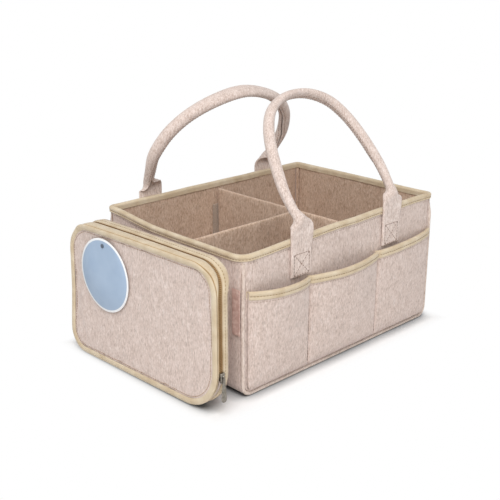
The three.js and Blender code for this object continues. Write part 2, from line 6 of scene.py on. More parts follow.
import bpy
import numpy as np
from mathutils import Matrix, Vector


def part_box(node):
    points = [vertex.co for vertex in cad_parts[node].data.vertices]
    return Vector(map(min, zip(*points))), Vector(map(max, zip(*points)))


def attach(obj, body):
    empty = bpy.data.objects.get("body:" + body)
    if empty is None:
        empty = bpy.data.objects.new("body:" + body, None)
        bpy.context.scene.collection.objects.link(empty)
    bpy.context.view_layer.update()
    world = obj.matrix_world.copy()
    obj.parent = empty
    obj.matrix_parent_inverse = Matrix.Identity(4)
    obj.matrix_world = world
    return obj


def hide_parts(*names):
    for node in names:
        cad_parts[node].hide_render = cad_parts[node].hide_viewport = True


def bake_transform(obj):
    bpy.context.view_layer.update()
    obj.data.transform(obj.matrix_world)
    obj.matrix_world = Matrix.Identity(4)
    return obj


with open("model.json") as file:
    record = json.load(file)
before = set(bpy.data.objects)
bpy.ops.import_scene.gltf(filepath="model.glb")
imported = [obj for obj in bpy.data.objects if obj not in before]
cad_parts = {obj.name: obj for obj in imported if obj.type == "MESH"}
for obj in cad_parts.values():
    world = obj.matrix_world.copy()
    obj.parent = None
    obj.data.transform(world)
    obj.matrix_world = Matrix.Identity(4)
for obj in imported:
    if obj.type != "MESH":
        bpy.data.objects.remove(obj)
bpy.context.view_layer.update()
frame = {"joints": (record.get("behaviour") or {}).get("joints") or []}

# Stage: the photograph's viewpoint, even studio light with one broad lamp over the camera's
# shoulder, and a white floor that looks white to the camera and keeps the caddy's shadow; near the
# caddy a contact shade is painted into the floor's colour from ambient occlusion.
CAMERA_PLACE = (-0.79895, -0.78464, 0.49569)
CAMERA_AIM = (46.169, -19.041)
CAMERA_LENS = 62.41
LAMP_FROM = (223, 52)
LAMP_DISTANCE = 1.9
LAMP_SIZE = 1.1
LAMP_POWER = 21.2
STUDIO_LIGHT = 0.53
WHITE = (1, 1, 1, 1)
FLOOR_HALF = 6.0
FLOOR_DROP = 0.0004
FLOOR_WHITE = "#fbfbfb"
FLOOR_PAINTED_SHADE = "#3f454c"
PAINTED_SHADE_REACH = 0.018
SHADOW_MIDDLE = (-0.027, 0.0)
SHADOW_HALF = (0.207, 0.14)
SHADOW_REACH = (-0.006, 0.02)


class Wire:
    """One output of a node tree. Arithmetic on wires adds Math nodes, and node() adds any other."""

    def __init__(self, tree, socket=None):
        self.tree = tree
        self.socket = socket

    def node(self, kind, settings=None, inputs=None, output=0):
        """Adds a node: first its settings, then a value or a link for each input named."""
        new = self.tree.nodes.new("ShaderNode" + kind)
        for name, value in (settings or {}).items():
            if name == "stops":
                stops = new.color_ramp.elements
                stops.remove(stops[1])
                stops[0].position, stops[0].color = value[0]
                for place, colour in value[1:]:
                    stops.new(place).color = colour
            else:
                setattr(new, name, value)
        for name, value in (inputs or {}).items():
            if isinstance(value, Wire):
                self.tree.links.new(value.socket, new.inputs[name])
            else:
                new.inputs[name].default_value = value
        return Wire(self.tree, new.outputs[output] if len(new.outputs) else None)

    def math(self, operation, *values):
        return self.node("Math", {"operation": operation}, dict(enumerate(values)))

    def __add__(self, other):
        return self.math("ADD", self, other)

    def __sub__(self, other):
        return self.math("SUBTRACT", self, other)

    def __rsub__(self, other):
        return self.math("SUBTRACT", other, self)

    def __mul__(self, other):
        return self.math("MULTIPLY", self, other)

    __radd__ = __add__
    __rmul__ = __mul__


def tint(code):
    """The linear colour of a hex code: the sRGB curve undone on each channel."""
    level = np.array([int(code[i:i + 2], 16) for i in (1, 3, 5)]) / 255
    linear = np.where(level <= 0.04045, level / 12.92, ((level + 0.055) / 1.055) ** 2.4)
    return (*linear.tolist(), 1.0)


def mix(start, share, first, second):
    """The colour between two others at a share."""
    return start.node("Mix", {"data_type": "RGBA"}, {"Factor": share, "A": first, "B": second}, 2)


def eased(start, value, low, high):
    """0 where a wire is below low, 1 above high, and an even S between."""
    limits = {"Value": value, "From Min": low, "From Max": high}
    return start.node("MapRange", {"interpolation_type": "SMOOTHSTEP"}, limits)


def seen_directly(start):
    """1 on rays that show the background itself: from the camera, a gloss or a clear piece."""
    kinds = ("Camera", "Glossy", "Transmission")
    return sum(start.node("LightPath", output=f"Is {kind} Ray") for kind in kinds)


def emptied(owner):
    """A wire into the cleared node tree of a material or a world."""
    owner.use_nodes = True
    owner.node_tree.nodes.clear()
    return Wire(owner.node_tree)


def heading(bearing, rise):
    """The unit vector at a bearing and a rise in degrees."""
    bearing, rise = math.radians(bearing), math.radians(rise)
    return Vector((math.cos(bearing) * math.cos(rise), math.sin(bearing) * math.cos(rise), math.sin(rise)))


def put(name, data):
    """A new object at the origin of the scene."""
    obj = bpy.data.objects.new(name, data)
    scene.collection.objects.link(obj)
    return obj


scene = bpy.context.scene
scene.view_settings.view_transform = "Standard"
camera = put("camera", bpy.data.cameras.new("camera"))
camera.data.lens = CAMERA_LENS
camera.location = CAMERA_PLACE
camera.rotation_euler = heading(*CAMERA_AIM).to_track_quat("-Z", "Y").to_euler()
scene.camera = camera

lamp = put("lamp", bpy.data.lights.new("lamp", "AREA"))
lamp.data.energy = LAMP_POWER
lamp.data.shape = "DISK"
lamp.data.size = LAMP_SIZE
lamp.location = LAMP_DISTANCE * heading(*LAMP_FROM)
lamp.rotation_euler = heading(*LAMP_FROM).to_track_quat("Z", "Y").to_euler()

scene.world = bpy.data.worlds.new("studio")
sky = emptied(scene.world)
sky.node("OutputWorld", {}, {"Surface": sky.node("Background", {}, {
    "Color": WHITE, "Strength": STUDIO_LIGHT + seen_directly(sky) * (1 - STUDIO_LIGHT),
})})

floor_mesh = bpy.data.meshes.new("floor")
square = np.array([(-1, -1, 0), (1, -1, 0), (1, 1, 0), (-1, 1, 0)]) * FLOOR_HALF
floor_mesh.from_pydata((square - [0, 0, FLOOR_DROP]).tolist(), [], [(0, 1, 2, 3)])
floor_finish = bpy.data.materials.new("white floor")
ground = emptied(floor_finish)
spot = ground.node("TexCoord", output="Object")
beyond = [
    ground.math("ABSOLUTE", ground.node("SeparateXYZ", {}, {"Vector": spot}, axis) - middle) - half
    for axis, middle, half in zip("XY", SHADOW_MIDDLE, SHADOW_HALF)
]
# Painted contact shade: where ambient occlusion finds the caddy close by, the floor's colour is darkened to
# a blue-grey.
occlusion_shade = ground.node("AmbientOcclusion", {"samples": 8}, {"Distance": PAINTED_SHADE_REACH}, "AO")
shaded = mix(ground, occlusion_shade, tint(FLOOR_PAINTED_SHADE), tint(FLOOR_WHITE))
clear = eased(ground, ground.math("MAXIMUM", *beyond), *SHADOW_REACH)
ground.node("OutputMaterial", {}, {"Surface": ground.node("MixShader", {}, {
    0: seen_directly(ground) * clear,
    1: ground.node("BsdfDiffuse", {}, {"Color": shaded}),
    2: ground.node("Emission", {}, {"Color": WHITE, "Strength": 1.0}),
})})
floor_mesh.materials.append(floor_finish)
put("floor", floor_mesh)

# Walls: needled felt panels, beige with rose and grey fibres. The long panels stand inside the
# piping, with their lower corners cut round; each end panel curves under to meet the base.
MM = 0.001
SIDES = ((-1, "front"), (1, "back"))
WALL_FELT = 4.5 * MM
WALL_BOW = 0.7 * MM
BOW_EASE = 30 * MM
FELT_GAP = (6 * MM, 6 * MM)
END_GAP = (6 * MM, 4 * MM)
ROUND = 7 * MM
RIM_ROUND = 7.5 * MM
NEAR_RIM_ROUND = 17 * MM
SOFTENS_BETWEEN = (0.1, 0.17)
FOOT_ROUND = 14 * MM
SEAM_SLACK = 0.3 * MM
SHARP_FROM = math.radians(55)
FELT_TONES = ("#a8948a", "#c5b1a6", "#d2bfb5", "#dccac1", "#eee0da")
SHADED_LINING_TONES = ("#9d8069", "#ba9d86", "#caae97", "#d6bda8", "#e5d1c0")
GREY_STOPS = ((0.2, "#948c88"), (0.5, "#c2bab6"), (0.8, "#e4dfdc"))


def xyz(*parts):
    """Points from arrays of their coordinates, spread to one shape."""
    return np.stack(np.broadcast_arrays(*parts), axis=-1)


def cells(grid):
    """The four corners of every cell of a grid, in turn."""
    corners = [grid[:-1, :-1], grid[1:, :-1], grid[1:, 1:], grid[:-1, 1:]]
    return np.stack(corners, axis=2).reshape(-1, 4, *grid.shape[2:])


def volume(points, faces):
    """Six times the signed volume under faces of one size, each cut into a fan of triangles."""
    return np.sum(points[faces[:, :1]] * np.cross(points[faces[:, 1:-1]], points[faces[:, 2:]]))


def piece(name, points, groups, uvs=None):
    """A smooth mesh object from points and from arrays of faces, each array of one face size. The
    faces are turned outwards by the sign of their volume. uvs gives metres on the cloth, by corner."""
    if sum(volume(points, faces) for faces in groups) < 0:
        groups = [faces[:, ::-1] for faces in groups]
        uvs = uvs and [uv[:, ::-1] for uv in uvs]
    mesh = bpy.data.meshes.new(name)
    mesh.from_pydata(points.tolist(), [], [face for faces in groups for face in faces.tolist()])
    if uvs:
        corners = np.concatenate([uv.reshape(-1, 2) for uv in uvs])
        mesh.uv_layers.new(name="cloth").data.foreach_set("uv", corners.astype(np.float32).ravel())
    mesh.shade_smooth()
    mesh.set_sharp_from_angle(angle=SHARP_FROM)
    return put(name, mesh)


def slab(name, front, back):
    """A closed panel between two grids of the same size, which share the front one's border."""
    index = np.arange(front[..., 0].size).reshape(front.shape[:2])
    other = index.copy()
    inside = other[1:-1, 1:-1]
    inside[:] = index.size + np.arange(inside.size).reshape(inside.shape)
    points = np.concatenate([front.reshape(-1, 3), back[1:-1, 1:-1].reshape(-1, 3)])
    return piece(name, points, [cells(index), cells(other)[:, ::-1]])


def steps(low, high, edge, gap):
    """Places across a panel and its share of full thickness there: even places about gap apart,
    closing up at both ends along a quarter turn, so that a cut edge is a half round edge deep."""
    turn = np.linspace(0, np.pi / 2, 4)[:-1]
    bend = edge * (1 - np.cos(turn))
    inside = np.linspace(low + edge, high - edge, max(2, round((high - low) / gap)))
    places = np.concatenate([low + bend, inside, (high - bend)[::-1]])
    return places, np.concatenate([np.sin(turn), np.ones(inside.size), np.sin(turn)[::-1]])


def panel(name, across, up, thick, place, gap, edge=None):
    """A panel between the limits across and up, half round at its cut edges. place(u, v, lift) puts
    a point of it, lift outside the middle of its thickness; edge gives the depths of the rounding."""
    edge = edge or (thick / 2, thick / 2)
    u, across_share = steps(*across, edge[0], gap[0])
    v, up_share = steps(*up, edge[1], gap[1])
    u, v = np.meshgrid(u, v, indexing="ij")
    lift = thick / 2 * np.outer(across_share, up_share)
    return slab(name, place(u, v, lift), place(u, v, -lift))


def waver(u, v, reach, seed):
    """The slow unevenness of cloth, about -1 to 1: the mean of six sine waves about reach long,
    whose headings, lengths and phases are drawn from the seed."""
    draw = np.random.default_rng(seed)
    turned, phase = draw.uniform(0, 2 * np.pi, (2, 6))
    length = reach * draw.uniform(0.7, 1.5, 6)
    along = u[..., None] * np.cos(turned) + v[..., None] * np.sin(turned)
    return 1.6 * np.sin(2 * np.pi * along / length + phase).mean(axis=-1)


def finish_of(name, constants, paint):
    """A material: one principled shader with constant values, and what paint gives for the rest from
    a wire to start on and the place on the object."""
    made = bpy.data.materials.new(name)
    start = emptied(made)
    painted = paint(start, start.node("TexCoord", output="Object"))
    start.node("OutputMaterial", {}, {"Surface": start.node("BsdfPrincipled", {}, constants | painted)})
    return made


def noise(start, place, size, detail=2.0, rough=0.5, kind="FBM"):
    """Noise between about 0.2 and 0.8, with spots about size across."""
    return start.node("TexNoise", {"noise_type": kind, "normalize": True}, {
        "Vector": place, "Scale": 1 / size, "Detail": detail, "Roughness": rough,
    })


def ramp(start, stops, value):
    """The colour at a value on a ramp of (place, hex code) stops."""
    return start.node("ValToRGB", {"stops": [(at, tint(code)) for at, code in stops]}, {"Fac": value})


def bump(start, strength, distance, height):
    """The normal of a surface that stands out by a distance times a height."""
    return start.node("Bump", {}, {"Strength": strength, "Distance": distance, "Height": height})


def felt_finish(name, tones, cool=0.3):
    """Needled melange felt. Tone: faint clouds, upright tufts about 1.6 by 5 mm, finer upright hairs
    and flecks under 1 mm, on a ramp from taupe to pale rose, with a share of cool grey tufts. Bump:
    ridged fibres over the tufts."""
    def paint(start, place):
        upright = start.node("Mapping", {}, {"Vector": place, "Scale": (1, 1, 0.32)})
        leaning = start.node("Mapping", {}, {
            "Vector": place, "Rotation": (0.3, 0.25, 0.5), "Scale": (1, 1, 0.3),
        })
        clouds = noise(start, place, 14 * MM)
        tufts = noise(start, upright, 1.7 * MM, 3, 0.6)
        hairs = noise(start, upright, 0.8 * MM, 3, 0.65)
        strays = noise(start, leaning, 1.1 * MM, 2, 0.6)
        flecks = noise(start, place, 0.7 * MM, 2, 0.6)
        tone = clouds * 0.25 + tufts * 0.85 + hairs * 0.6 + strays * 0.42 + flecks * 0.25 - 0.685
        ridges = noise(start, upright, 0.9 * MM, 3, 0.6, "RIDGED_MULTIFRACTAL")
        height = ridges * 0.4 + hairs * 0.7 + tufts * 0.6 + strays * 0.4
        patches = noise(start, upright, 3.1 * MM, 3, 0.7)
        limits = {"Value": patches, "From Min": 0.52, "From Max": 0.72, "To Max": cool}
        greyness = start.node("MapRange", {}, limits)
        warm = ramp(start, zip((0.2, 0.38, 0.5, 0.62, 0.82), tones), tone)
        return {
            "Base Color": mix(start, greyness, warm, ramp(start, GREY_STOPS, tone)),
            "Normal": bump(start, 0.5, 0.6 * MM, height),
        }
    matt = {"Roughness": 0.95, "Specular IOR Level": 0.15, "Sheen Weight": 0.25, "Sheen Roughness": 0.6}
    return finish_of(name, matt, paint)


fitted = {}


def fit(obj, finish, body, slot, *nodes):
    """Gives a piece its finish, the body it rides on, and the nodes it stands for; slot is not used."""
    obj.data.materials.append(finish)
    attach(obj, body)
    if nodes:
        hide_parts(*nodes)
    fitted.setdefault(body, []).append(obj)
    return obj


def face_with(obj, finish, chosen):
    """Gives the chosen faces of a piece, a range or a mask of their numbers, a finish of their own."""
    index = np.empty(len(obj.data.polygons), np.int32)
    obj.data.polygons.foreach_get("material_index", index)
    index[chosen] = len(obj.data.materials)
    obj.data.materials.append(finish)
    obj.data.polygons.foreach_set("material_index", index)


def cut_sheet(name, node, across, up, thick, place, gap, look, spare=(0, 0)):
    """A panel in place of a node, between its limits; spare, some cloth to spare where it gapes, is
    not used. look is its finish, body and slot."""
    sheet = fit(panel(name, across, up, thick, place, gap), *look, node)
    across[1] - across[0] + spare[0]
    up[1] - up[0] + spare[1]
    return sheet


def lined_wall(word, across, up, thick, place, gap):
    """A wall with felt outside and the lining on its inner face, the second half of its faces; the
    lining is a darker, browner copy of the felt that paints the shade inside the box.
    """
    wall = cut_sheet(f"{word}_wall", f"{word}_panel", across, up, thick, place, gap, (felt, "caddy", "felt"))
    face_with(wall, lining_felt, slice(len(wall.data.polygons) // 2, None))


def smooth(low, high, value):
    """0 below low, 1 above high, and an even S between."""
    share = np.clip((value - low) / (high - low), 0, 1)
    return share * share * (3 - 2 * share)


def corner_round(x, y, z):
    """The radius of the upright corner on the side that x and y name: tight at the foot and softer up
    to the rim, most of all at the near corner by the pouch."""
    at_rim = np.where((x < 0) & (y < 0), NEAR_RIM_ROUND, RIM_ROUND)
    return ROUND + (at_rim - ROUND) * smooth(*SOFTENS_BETWEEN, z)


def rounded_foot(u, z, half):
    """x on a long panel: u, drawn in below the foot so that the lower corners are quarter rounds."""
    radius = FOOT_ROUND - ROUND - SEAM_SLACK
    below = np.clip(FOOT_ROUND - z, 0, radius)
    return u * (half - radius + np.sqrt(radius ** 2 - below ** 2)) / half


felt = felt_finish("melange felt", FELT_TONES)
# The lining felt is a darker, browner copy of the outer felt: painted shade for the faces inside the box.
lining_felt = felt_finish("lining felt", SHADED_LINING_TONES, 0.15)
for side, word in SIDES:
    low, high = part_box(f"{word}_panel")

    def long_wall(u, z, lift):
        """Upright, with a slow bow that fades at the sides, and narrower where the corners soften."""
        bow = WALL_BOW * waver(u, z, 0.12, 11 + side) * np.clip((high.x - abs(u)) / BOW_EASE, 0, 1)
        drawn_in = 1 - (corner_round(u, side, z) - ROUND) / high.x
        return xyz(rounded_foot(u, z, high.x) * drawn_in, (low.y + high.y) / 2 + side * (lift + bow), z)

    lined_wall(word, (low.x, high.x), (low.z, high.z), high.y - low.y, long_wall, FELT_GAP)

bend = FOOT_ROUND - WALL_FELT / 2
turn_length = bend * np.pi / 2
for side, word in ((-1, "left_end"), (1, "right_end")):
    low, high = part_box(f"{word}_panel")
    outer_x = max(abs(low.x), abs(high.x))

    def end_wall(y, run, lift):
        """From the base round a quarter turn and straight up, bowed and narrowed as the long walls."""
        angle = np.clip(run / bend, 0, np.pi / 2)
        rise = np.maximum(run - turn_length, 0)
        bow = WALL_BOW * waver(y, run, 0.1, 21 + side) * np.clip((high.y - abs(y)) / BOW_EASE, 0, 1)
        reach = bend + lift + np.where(rise > 0, bow, 0)
        z = FOOT_ROUND - reach * np.cos(angle) + rise
        drawn_in = 1 - (corner_round(side, y, z) - ROUND) / high.y
        return xyz(side * (outer_x - FOOT_ROUND + reach * np.sin(angle)), y * drawn_in, z)

    height = turn_length + high.z - FOOT_ROUND
    lined_wall(word, (low.y, high.y), (0, height), WALL_FELT, end_wall, END_GAP)

# Base: a felt panel underneath, and on it a loose board, which keeps the floor of the caddy flat,
# covered in the lining felt, a darker copy of the felt that paints the shade inside the box.
BASE_GAP = (12 * MM, 12 * MM)
for node, name, finish, slot in (
    ("base_panel", "base_felt", felt, "felt"), ("base_board", "base_lining", lining_felt, "board"),
):
    low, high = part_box(node)

    def lying(x, y, lift):
        """Level, about the middle of the node's height."""
        return xyz(x, y, (low.z + high.z) / 2 + lift)

    across, up, look = (low.x, high.x), (low.y, high.y), (finish, "caddy", slot)
    cut_sheet(name, node, across, up, high.z - low.z, lying, BASE_GAP, look)

# Edge piping: felt sewn round every long panel's sides and bottom, with a covered cord standing
# out of the seam as a bead, nearer to the long side than to the end, and stitched on both sides.
BEAD = 2.3 * MM
BEAD_STAND = 0.7 * MM
BEAD_TURN = math.radians(50)
BEAD_END = (0.15, 0.173)
GROOVE = 1.2 * MM
GROOVE_WIDTH = 0.6 * MM
PIPING_BENDS, PIPING_STEPS = 10, 44
BEFORE_BEAD, ON_BEAD, AFTER_BEAD, INSIDE_TURN = 14, 15, 9, 8
BEAD_HIGHLIGHT_TONES = ("#ae998b", "#cbb8aa", "#d9c7bb", "#e2d2c7", "#efe3db")
STITCH = np.array([3.1, 0.7, 0.55]) * MM
STITCH_PITCH = 4.0 * MM


def run_of(path):
    """The way gone along a path at each of its points."""
    return np.append(0, np.linalg.norm(np.diff(path, axis=0), axis=1).cumsum())


def follow(places, run, values):
    """The rows of values that are given along a run, at other places on it."""
    return xyz(*(np.interp(places, run, column) for column in values.T))


def unit(ways):
    """Directions brought to length 1."""
    return ways / np.linalg.norm(ways, axis=-1, keepdims=True)


def hump(value, middle, width):
    """A bell curve: 1 at the middle, and less by the exponential of the square of the way from it."""
    return np.exp(-((value - middle) / width) ** 2)


def sweep(name, rings, loop=False):
    """A closed skin over a row of rings (stations by points by 3). A loop joins the last ring to
    the first; otherwise both ends are capped. The UV map runs in metres along and round the rings."""
    count, size = rings.shape[:2]
    stations = np.arange(count + loop) % count
    around = np.arange(size + 1) % size
    index = stations[:, None] * size + around
    closed = rings[stations][:, around]
    girth = np.append(0, np.linalg.norm(np.diff(closed, axis=1), axis=2).mean(axis=0).cumsum())
    metres = xyz(run_of(closed.mean(axis=1))[:, None], girth)
    groups, uvs = [cells(index)], [cells(metres)]
    if not loop:
        groups.append(np.stack([index[0, :-1][::-1], index[-1, :-1]])[:, ::-1])
        uvs.append(np.zeros((2, size, 2)))
    return piece(name, rings.reshape(-1, 3), groups, uvs)


def rounded_loop(width, height, radii, bends, along):
    """Points and outward directions round a rectangle with rounded corners, whose radii run
    anticlockwise from the upper right one: even steps on each corner arc and each straight side."""
    radii = np.array(radii)
    signs = np.array([[1, 1], [-1, 1], [-1, -1], [1, -1]])
    centres = signs * (np.array([width, height]) / 2 - radii[:, None])
    angles = np.linspace(0, np.pi / 2, bends + 1) + np.arange(4)[:, None] * np.pi / 2
    out = xyz(np.cos(angles), np.sin(angles))
    arcs = centres[:, None] + radii[:, None, None] * out
    share = np.linspace(0, 1, along + 1)[1:-1, None]
    sides = arcs[:, -1:] * (1 - share) + np.roll(arcs[:, :1], -1, axis=0) * share
    points = np.concatenate([arcs, sides], axis=1)
    directions = np.concatenate([out, np.repeat(out[:, -1:], along - 1, axis=1)], axis=1)
    return points.reshape(-1, 2), directions.reshape(-1, 2)


def piping_sections(corner, bead_share):
    """(out, front) round the corner at each station: a quarter round from the end face to the long
    face, from which a bead stands on its radius by a share, with a sewn groove on both sides of it;
    then the inside quarter back. Also the numbers of the bead's points, whose end is the groove."""
    corner, bead_share = corner[:, None], bead_share[:, None]
    reach = corner + BEAD_STAND
    edge = np.arcsin(BEAD / reach)
    off = edge * np.concatenate([np.linspace(-1, 1, ON_BEAD), [1.12]])
    low_end, high_end = -BEAD_TURN, np.pi / 2 - BEAD_TURN
    before = low_end + (off[:, :1] - low_end) * np.linspace(0, 0.98, BEFORE_BEAD)
    after = off[:, -1:] + (high_end - off[:, -1:]) * np.linspace(0.1, 1, AFTER_BEAD)
    off = np.concatenate([before, off, after], axis=1)
    bead = reach * np.cos(off) + np.sqrt(np.maximum(BEAD ** 2 - (reach * np.sin(off)) ** 2, 0))
    plain = corner - GROOVE * hump(abs(off), edge, GROOVE_WIDTH / corner) * bead_share
    radius = np.where(abs(off) < edge, plain + (bead - plain) * bead_share, plain)
    turn, inside = BEAD_TURN + off, np.linspace(np.pi / 2, 0, INSIDE_TURN)
    outer = radius[..., None] * xyz(np.cos(turn), np.sin(turn))
    inner = (corner - WALL_FELT)[..., None] * xyz(np.cos(inside), np.sin(inside))
    return np.concatenate([outer, inner], axis=1), slice(BEFORE_BEAD, BEFORE_BEAD + ON_BEAD)


def beads(name, rows, pitch, size):
    """Small rounded beads, size (along, across, out), spaced about pitch on paths with the way they
    face. One bead is three rings of six points between two poles, flattened to its size."""
    turn = np.arange(6) * np.pi / 3
    ring = xyz(0, np.cos(turn), np.sin(turn))
    shape = [ring * share + [at, 0, 0] for at, share in ((-0.62, 0.8), (0, 1), (0.62, 0.8))]
    shape = np.concatenate([*shape, [[-1, 0, 0], [1, 0, 0]]]) * size / 2
    index = np.arange(18).reshape(3, 6)
    index = np.concatenate([index, index[:, :1]], axis=1)
    tips = np.concatenate([xyz(index[0, 1:], index[0, :-1], 18), xyz(index[2, :-1], index[2, 1:], 19)])
    laid = []
    for path, out in rows:
        run = run_of(path)
        count = max(1, round(run[-1] / pitch))
        at = (np.arange(count) + 0.5) * run[-1] / count
        ahead = follow(at + 0.2 * pitch, run, path) - follow(at - 0.2 * pitch, run, path)
        laid.append((follow(at, run, path), ahead, follow(at, run, out)))
    middle, ahead, out = (np.concatenate(parts) for parts in zip(*laid))
    ahead = unit(ahead)
    across = unit(np.cross(out, ahead))
    points = middle[:, None] + shape @ np.stack([ahead, across, np.cross(ahead, across)], axis=1)
    shift = np.arange(len(middle))[:, None, None] * len(shape)
    faces = [(cells(index) + shift).reshape(-1, 4), (tips + shift).reshape(-1, 3)]
    return piece(name, points.reshape(-1, 3), faces)


def sew(name, rows, thread, body="caddy", size=STITCH, pitch=STITCH_PITCH, slot="binding_tape"):
    """Rows of stitches that ride on a body."""
    fit(beads(name, rows, pitch, size), thread, body, slot)


def thread_finish(name, code):
    """Twisted sewing thread: a plain dyed colour that varies a little from stitch to stitch."""
    def paint(start, place):
        dark = tuple(0.72 * level for level in tint(code)[:3])
        return {"Base Color": mix(start, noise(start, place, 4 * MM, 2, 0.6), (*dark, 1), tint(code))}
    return finish_of(name, {"Roughness": 0.7, "Specular IOR Level": 0.3}, paint)


# The piping felt is a lighter copy of the felt for the bead: a painted highlight where it stands proud.
bead_highlight_felt = felt_finish("piping felt", BEAD_HIGHLIGHT_TONES, 0.1)
brown_thread = thread_finish("brown thread", "#9a7a64")
block = PIPING_BENDS + PIPING_STEPS
down_and_up = np.arange(block + PIPING_BENDS, 4 * block + 1) % (4 * block)
foot = FOOT_ROUND - ROUND
grooves = []
for side, word in SIDES:
    low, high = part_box(f"{word}_edge_binding")
    size = 2 * (high.x - ROUND), high.z - ROUND
    route, out = rounded_loop(*size, (0, 0, foot, foot), PIPING_BENDS, PIPING_STEPS)
    route, out = route[down_and_up], out[down_and_up]
    out[0], out[-1] = (-1, 0), (1, 0)
    z = (high.z + ROUND) / 2 + route[:, 1]
    corner = corner_round(route[:, 0], side, z)
    section, bead = piping_sections(corner, 1 - smooth(*BEAD_END, z))
    reach = section[..., 0] - (corner - ROUND)[:, None]
    wall_y = max(abs(low.y), abs(high.y))
    rings = xyz(
        route[:, :1] + out[:, :1] * reach, side * (wall_y - corner[:, None] + section[..., 1]),
        z[:, None] + out[:, 1:] * reach,
    )
    piping = fit(sweep(f"{word}_piping", rings), felt, "caddy", "piping", f"{word}_edge_binding")
    column = np.arange(len(piping.data.polygons)) % rings.shape[1]
    # Painted highlight: the bead's faces take the lighter copy of the felt.
    face_with(piping, bead_highlight_felt, (column >= bead.start) & (column < bead.stop))
    # The piping's inside turn takes the lining felt with its painted shade.
    face_with(piping, lining_felt, column >= rings.shape[1] - INSIDE_TURN)
    sewn = rings[PIPING_BENDS:-PIPING_BENDS]
    facing = np.tile([0.0, side, 0.0], (len(sewn), 1))
    grooves += [(sewn[:, bead.start], facing), (sewn[:, bead.stop], facing)]
sew("piping_stitches", grooves, brown_thread)

# Rim tape: pale gold ribbed tape, folded over the top edge all round and sewn through twice; the
# stitches are real loops of thread laid in the tape.
TAPE = 0.9 * MM
TAPE_PLUMP = 0.55 * MM
TAPE_CROWN = 2.6 * MM
TAPE_STITCH_DROP = 5.6 * MM
TAPE_RIB = 1.1 * MM
RIM_BENDS, RIM_STEPS = 12, 56
RIM_DROP = 8 * MM
RIM_HEM = 11.2 * MM
RIM_LIE = 0.5 * MM
RIM_SAG = 7.5 * MM
SAGS_ABOVE = 50 * MM
SAGS_ACROSS = np.array([0.2, 0.97])
HEM_STITCH = np.array([2.8, 0.55, 0.45]) * MM
HEM_SUNK = 0.05 * MM
GOLD_STOPS = ((0.2, "#b2997a"), (0.42, "#cbb798"), (0.6, "#dacab0"), (0.85, "#f0e6d4"))


def folded_tape(sheet, drop):
    """(out, up) of a tape folded over a sheet's edge: a centre line down from the lip, over the edge
    in a half ellipse and down inside, thickened both ways. The outer leg swells between its fold and
    the line where it is sewn, is drawn in there, and ends in a thin selvedge; the inner leg is flat."""
    reach = sheet / 2 + SEAM_SLACK + TAPE / 2
    crown = min(TAPE_CROWN, reach)
    spring = -crown - TAPE / 2
    turn = np.linspace(0, np.pi, 13)[1:-1]
    outer = xyz(reach, np.linspace(-drop, spring, 24))
    over = xyz(reach * np.cos(turn), spring + crown * np.sin(turn))
    line = np.concatenate([outer, over, (outer * [-1, 1])[::-1]])
    ahead = np.gradient(line, axis=0)
    normal = unit(xyz(ahead[:, 1], -ahead[:, 0]))
    down = -line[:, 1]
    swell = hump(down, 0.5 * TAPE_STITCH_DROP, 0.42 * TAPE_STITCH_DROP)
    swell += 0.35 * hump(down, 0.5 * (TAPE_STITCH_DROP + drop), 0.9 * MM)
    swell -= 0.75 * hump(down, TAPE_STITCH_DROP, 0.55 * MM)
    swell *= TAPE_PLUMP * smooth(-0.3 * reach, 0.7 * reach, line[:, 0])
    swell[[0, -1]] -= 0.3 * TAPE
    outside = line + normal * (TAPE / 2 + swell)[:, None]
    return np.concatenate([outside, (line - normal * TAPE / 2)[::-1]]) - [sheet / 2, 0]


def tape_finish(name, stops, rib=TAPE_RIB):
    """Ribbed woven tape. Ribs cross it every millimetre or so along the UV map's length, as a sine;
    the threads between them and slow fading come from noise."""
    def paint(start, place):
        metres = start.node("UVMap", {"uv_map": "cloth"})
        along = start.node("SeparateXYZ", {}, {"Vector": metres}, "X")
        ribs = start.math("SINE", along * (2 * math.pi / rib)) * 0.5 + 0.5
        drawn = start.node("Mapping", {}, {"Vector": metres, "Scale": (1, 5, 1)})
        threads = noise(start, drawn, 0.9 * MM, 2, 0.6)
        tone = ribs * 0.16 + threads * 0.5 + noise(start, place, 16 * MM) * 0.5 - 0.08
        return {
            "Base Color": ramp(start, stops, tone),
            "Normal": bump(start, 0.5, 0.3 * MM, ribs * 0.7 + threads * 0.5),
        }
    silky = {"Roughness": 0.62, "Specular IOR Level": 0.35, "Sheen Weight": 0.3, "Sheen Roughness": 0.4}
    return finish_of(name, silky, paint)


gold_tape = tape_finish("pale gold tape", GOLD_STOPS)
tape_thread = thread_finish("tape thread", "#a98a62")
hem_thread = thread_finish("hem thread", "#a1866f")
low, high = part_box("rim_binding")
proud = SEAM_SLACK + TAPE
size = high.x - low.x - 2 * proud, high.y - low.y - 2 * proud
route, out = rounded_loop(*size, (RIM_ROUND, RIM_ROUND, NEAR_RIM_ROUND, RIM_ROUND), RIM_BENDS, RIM_STEPS)
rim_z = high.z - RIM_LIE + RIM_LIE * waver(route[:, 0], route[:, 1], 0.09, 31)
section = folded_tape(WALL_FELT, RIM_DROP)
level = (route[:, i, None] + out[:, i, None] * section[:, 0] for i in (0, 1))
rim_tape = sweep("rim_tape", xyz(*level, rim_z[:, None] + section[:, 1]), loop=True)
fit(rim_tape, gold_tape, "caddy", "binding_tape", "rim_binding")


def shut(rows):
    """Rows round a loop, with the first again at the end."""
    return np.vstack([rows, rows[:1]])


def rim_line(out_by, drop):
    """A closed path round the rim, out_by outside the wall and drop below the top, and its facing."""
    facing = np.column_stack([out * np.sign(out_by + WALL_FELT / 2), np.zeros(len(out))])
    return shut(np.column_stack([route + out * out_by, rim_z - drop])), shut(facing)


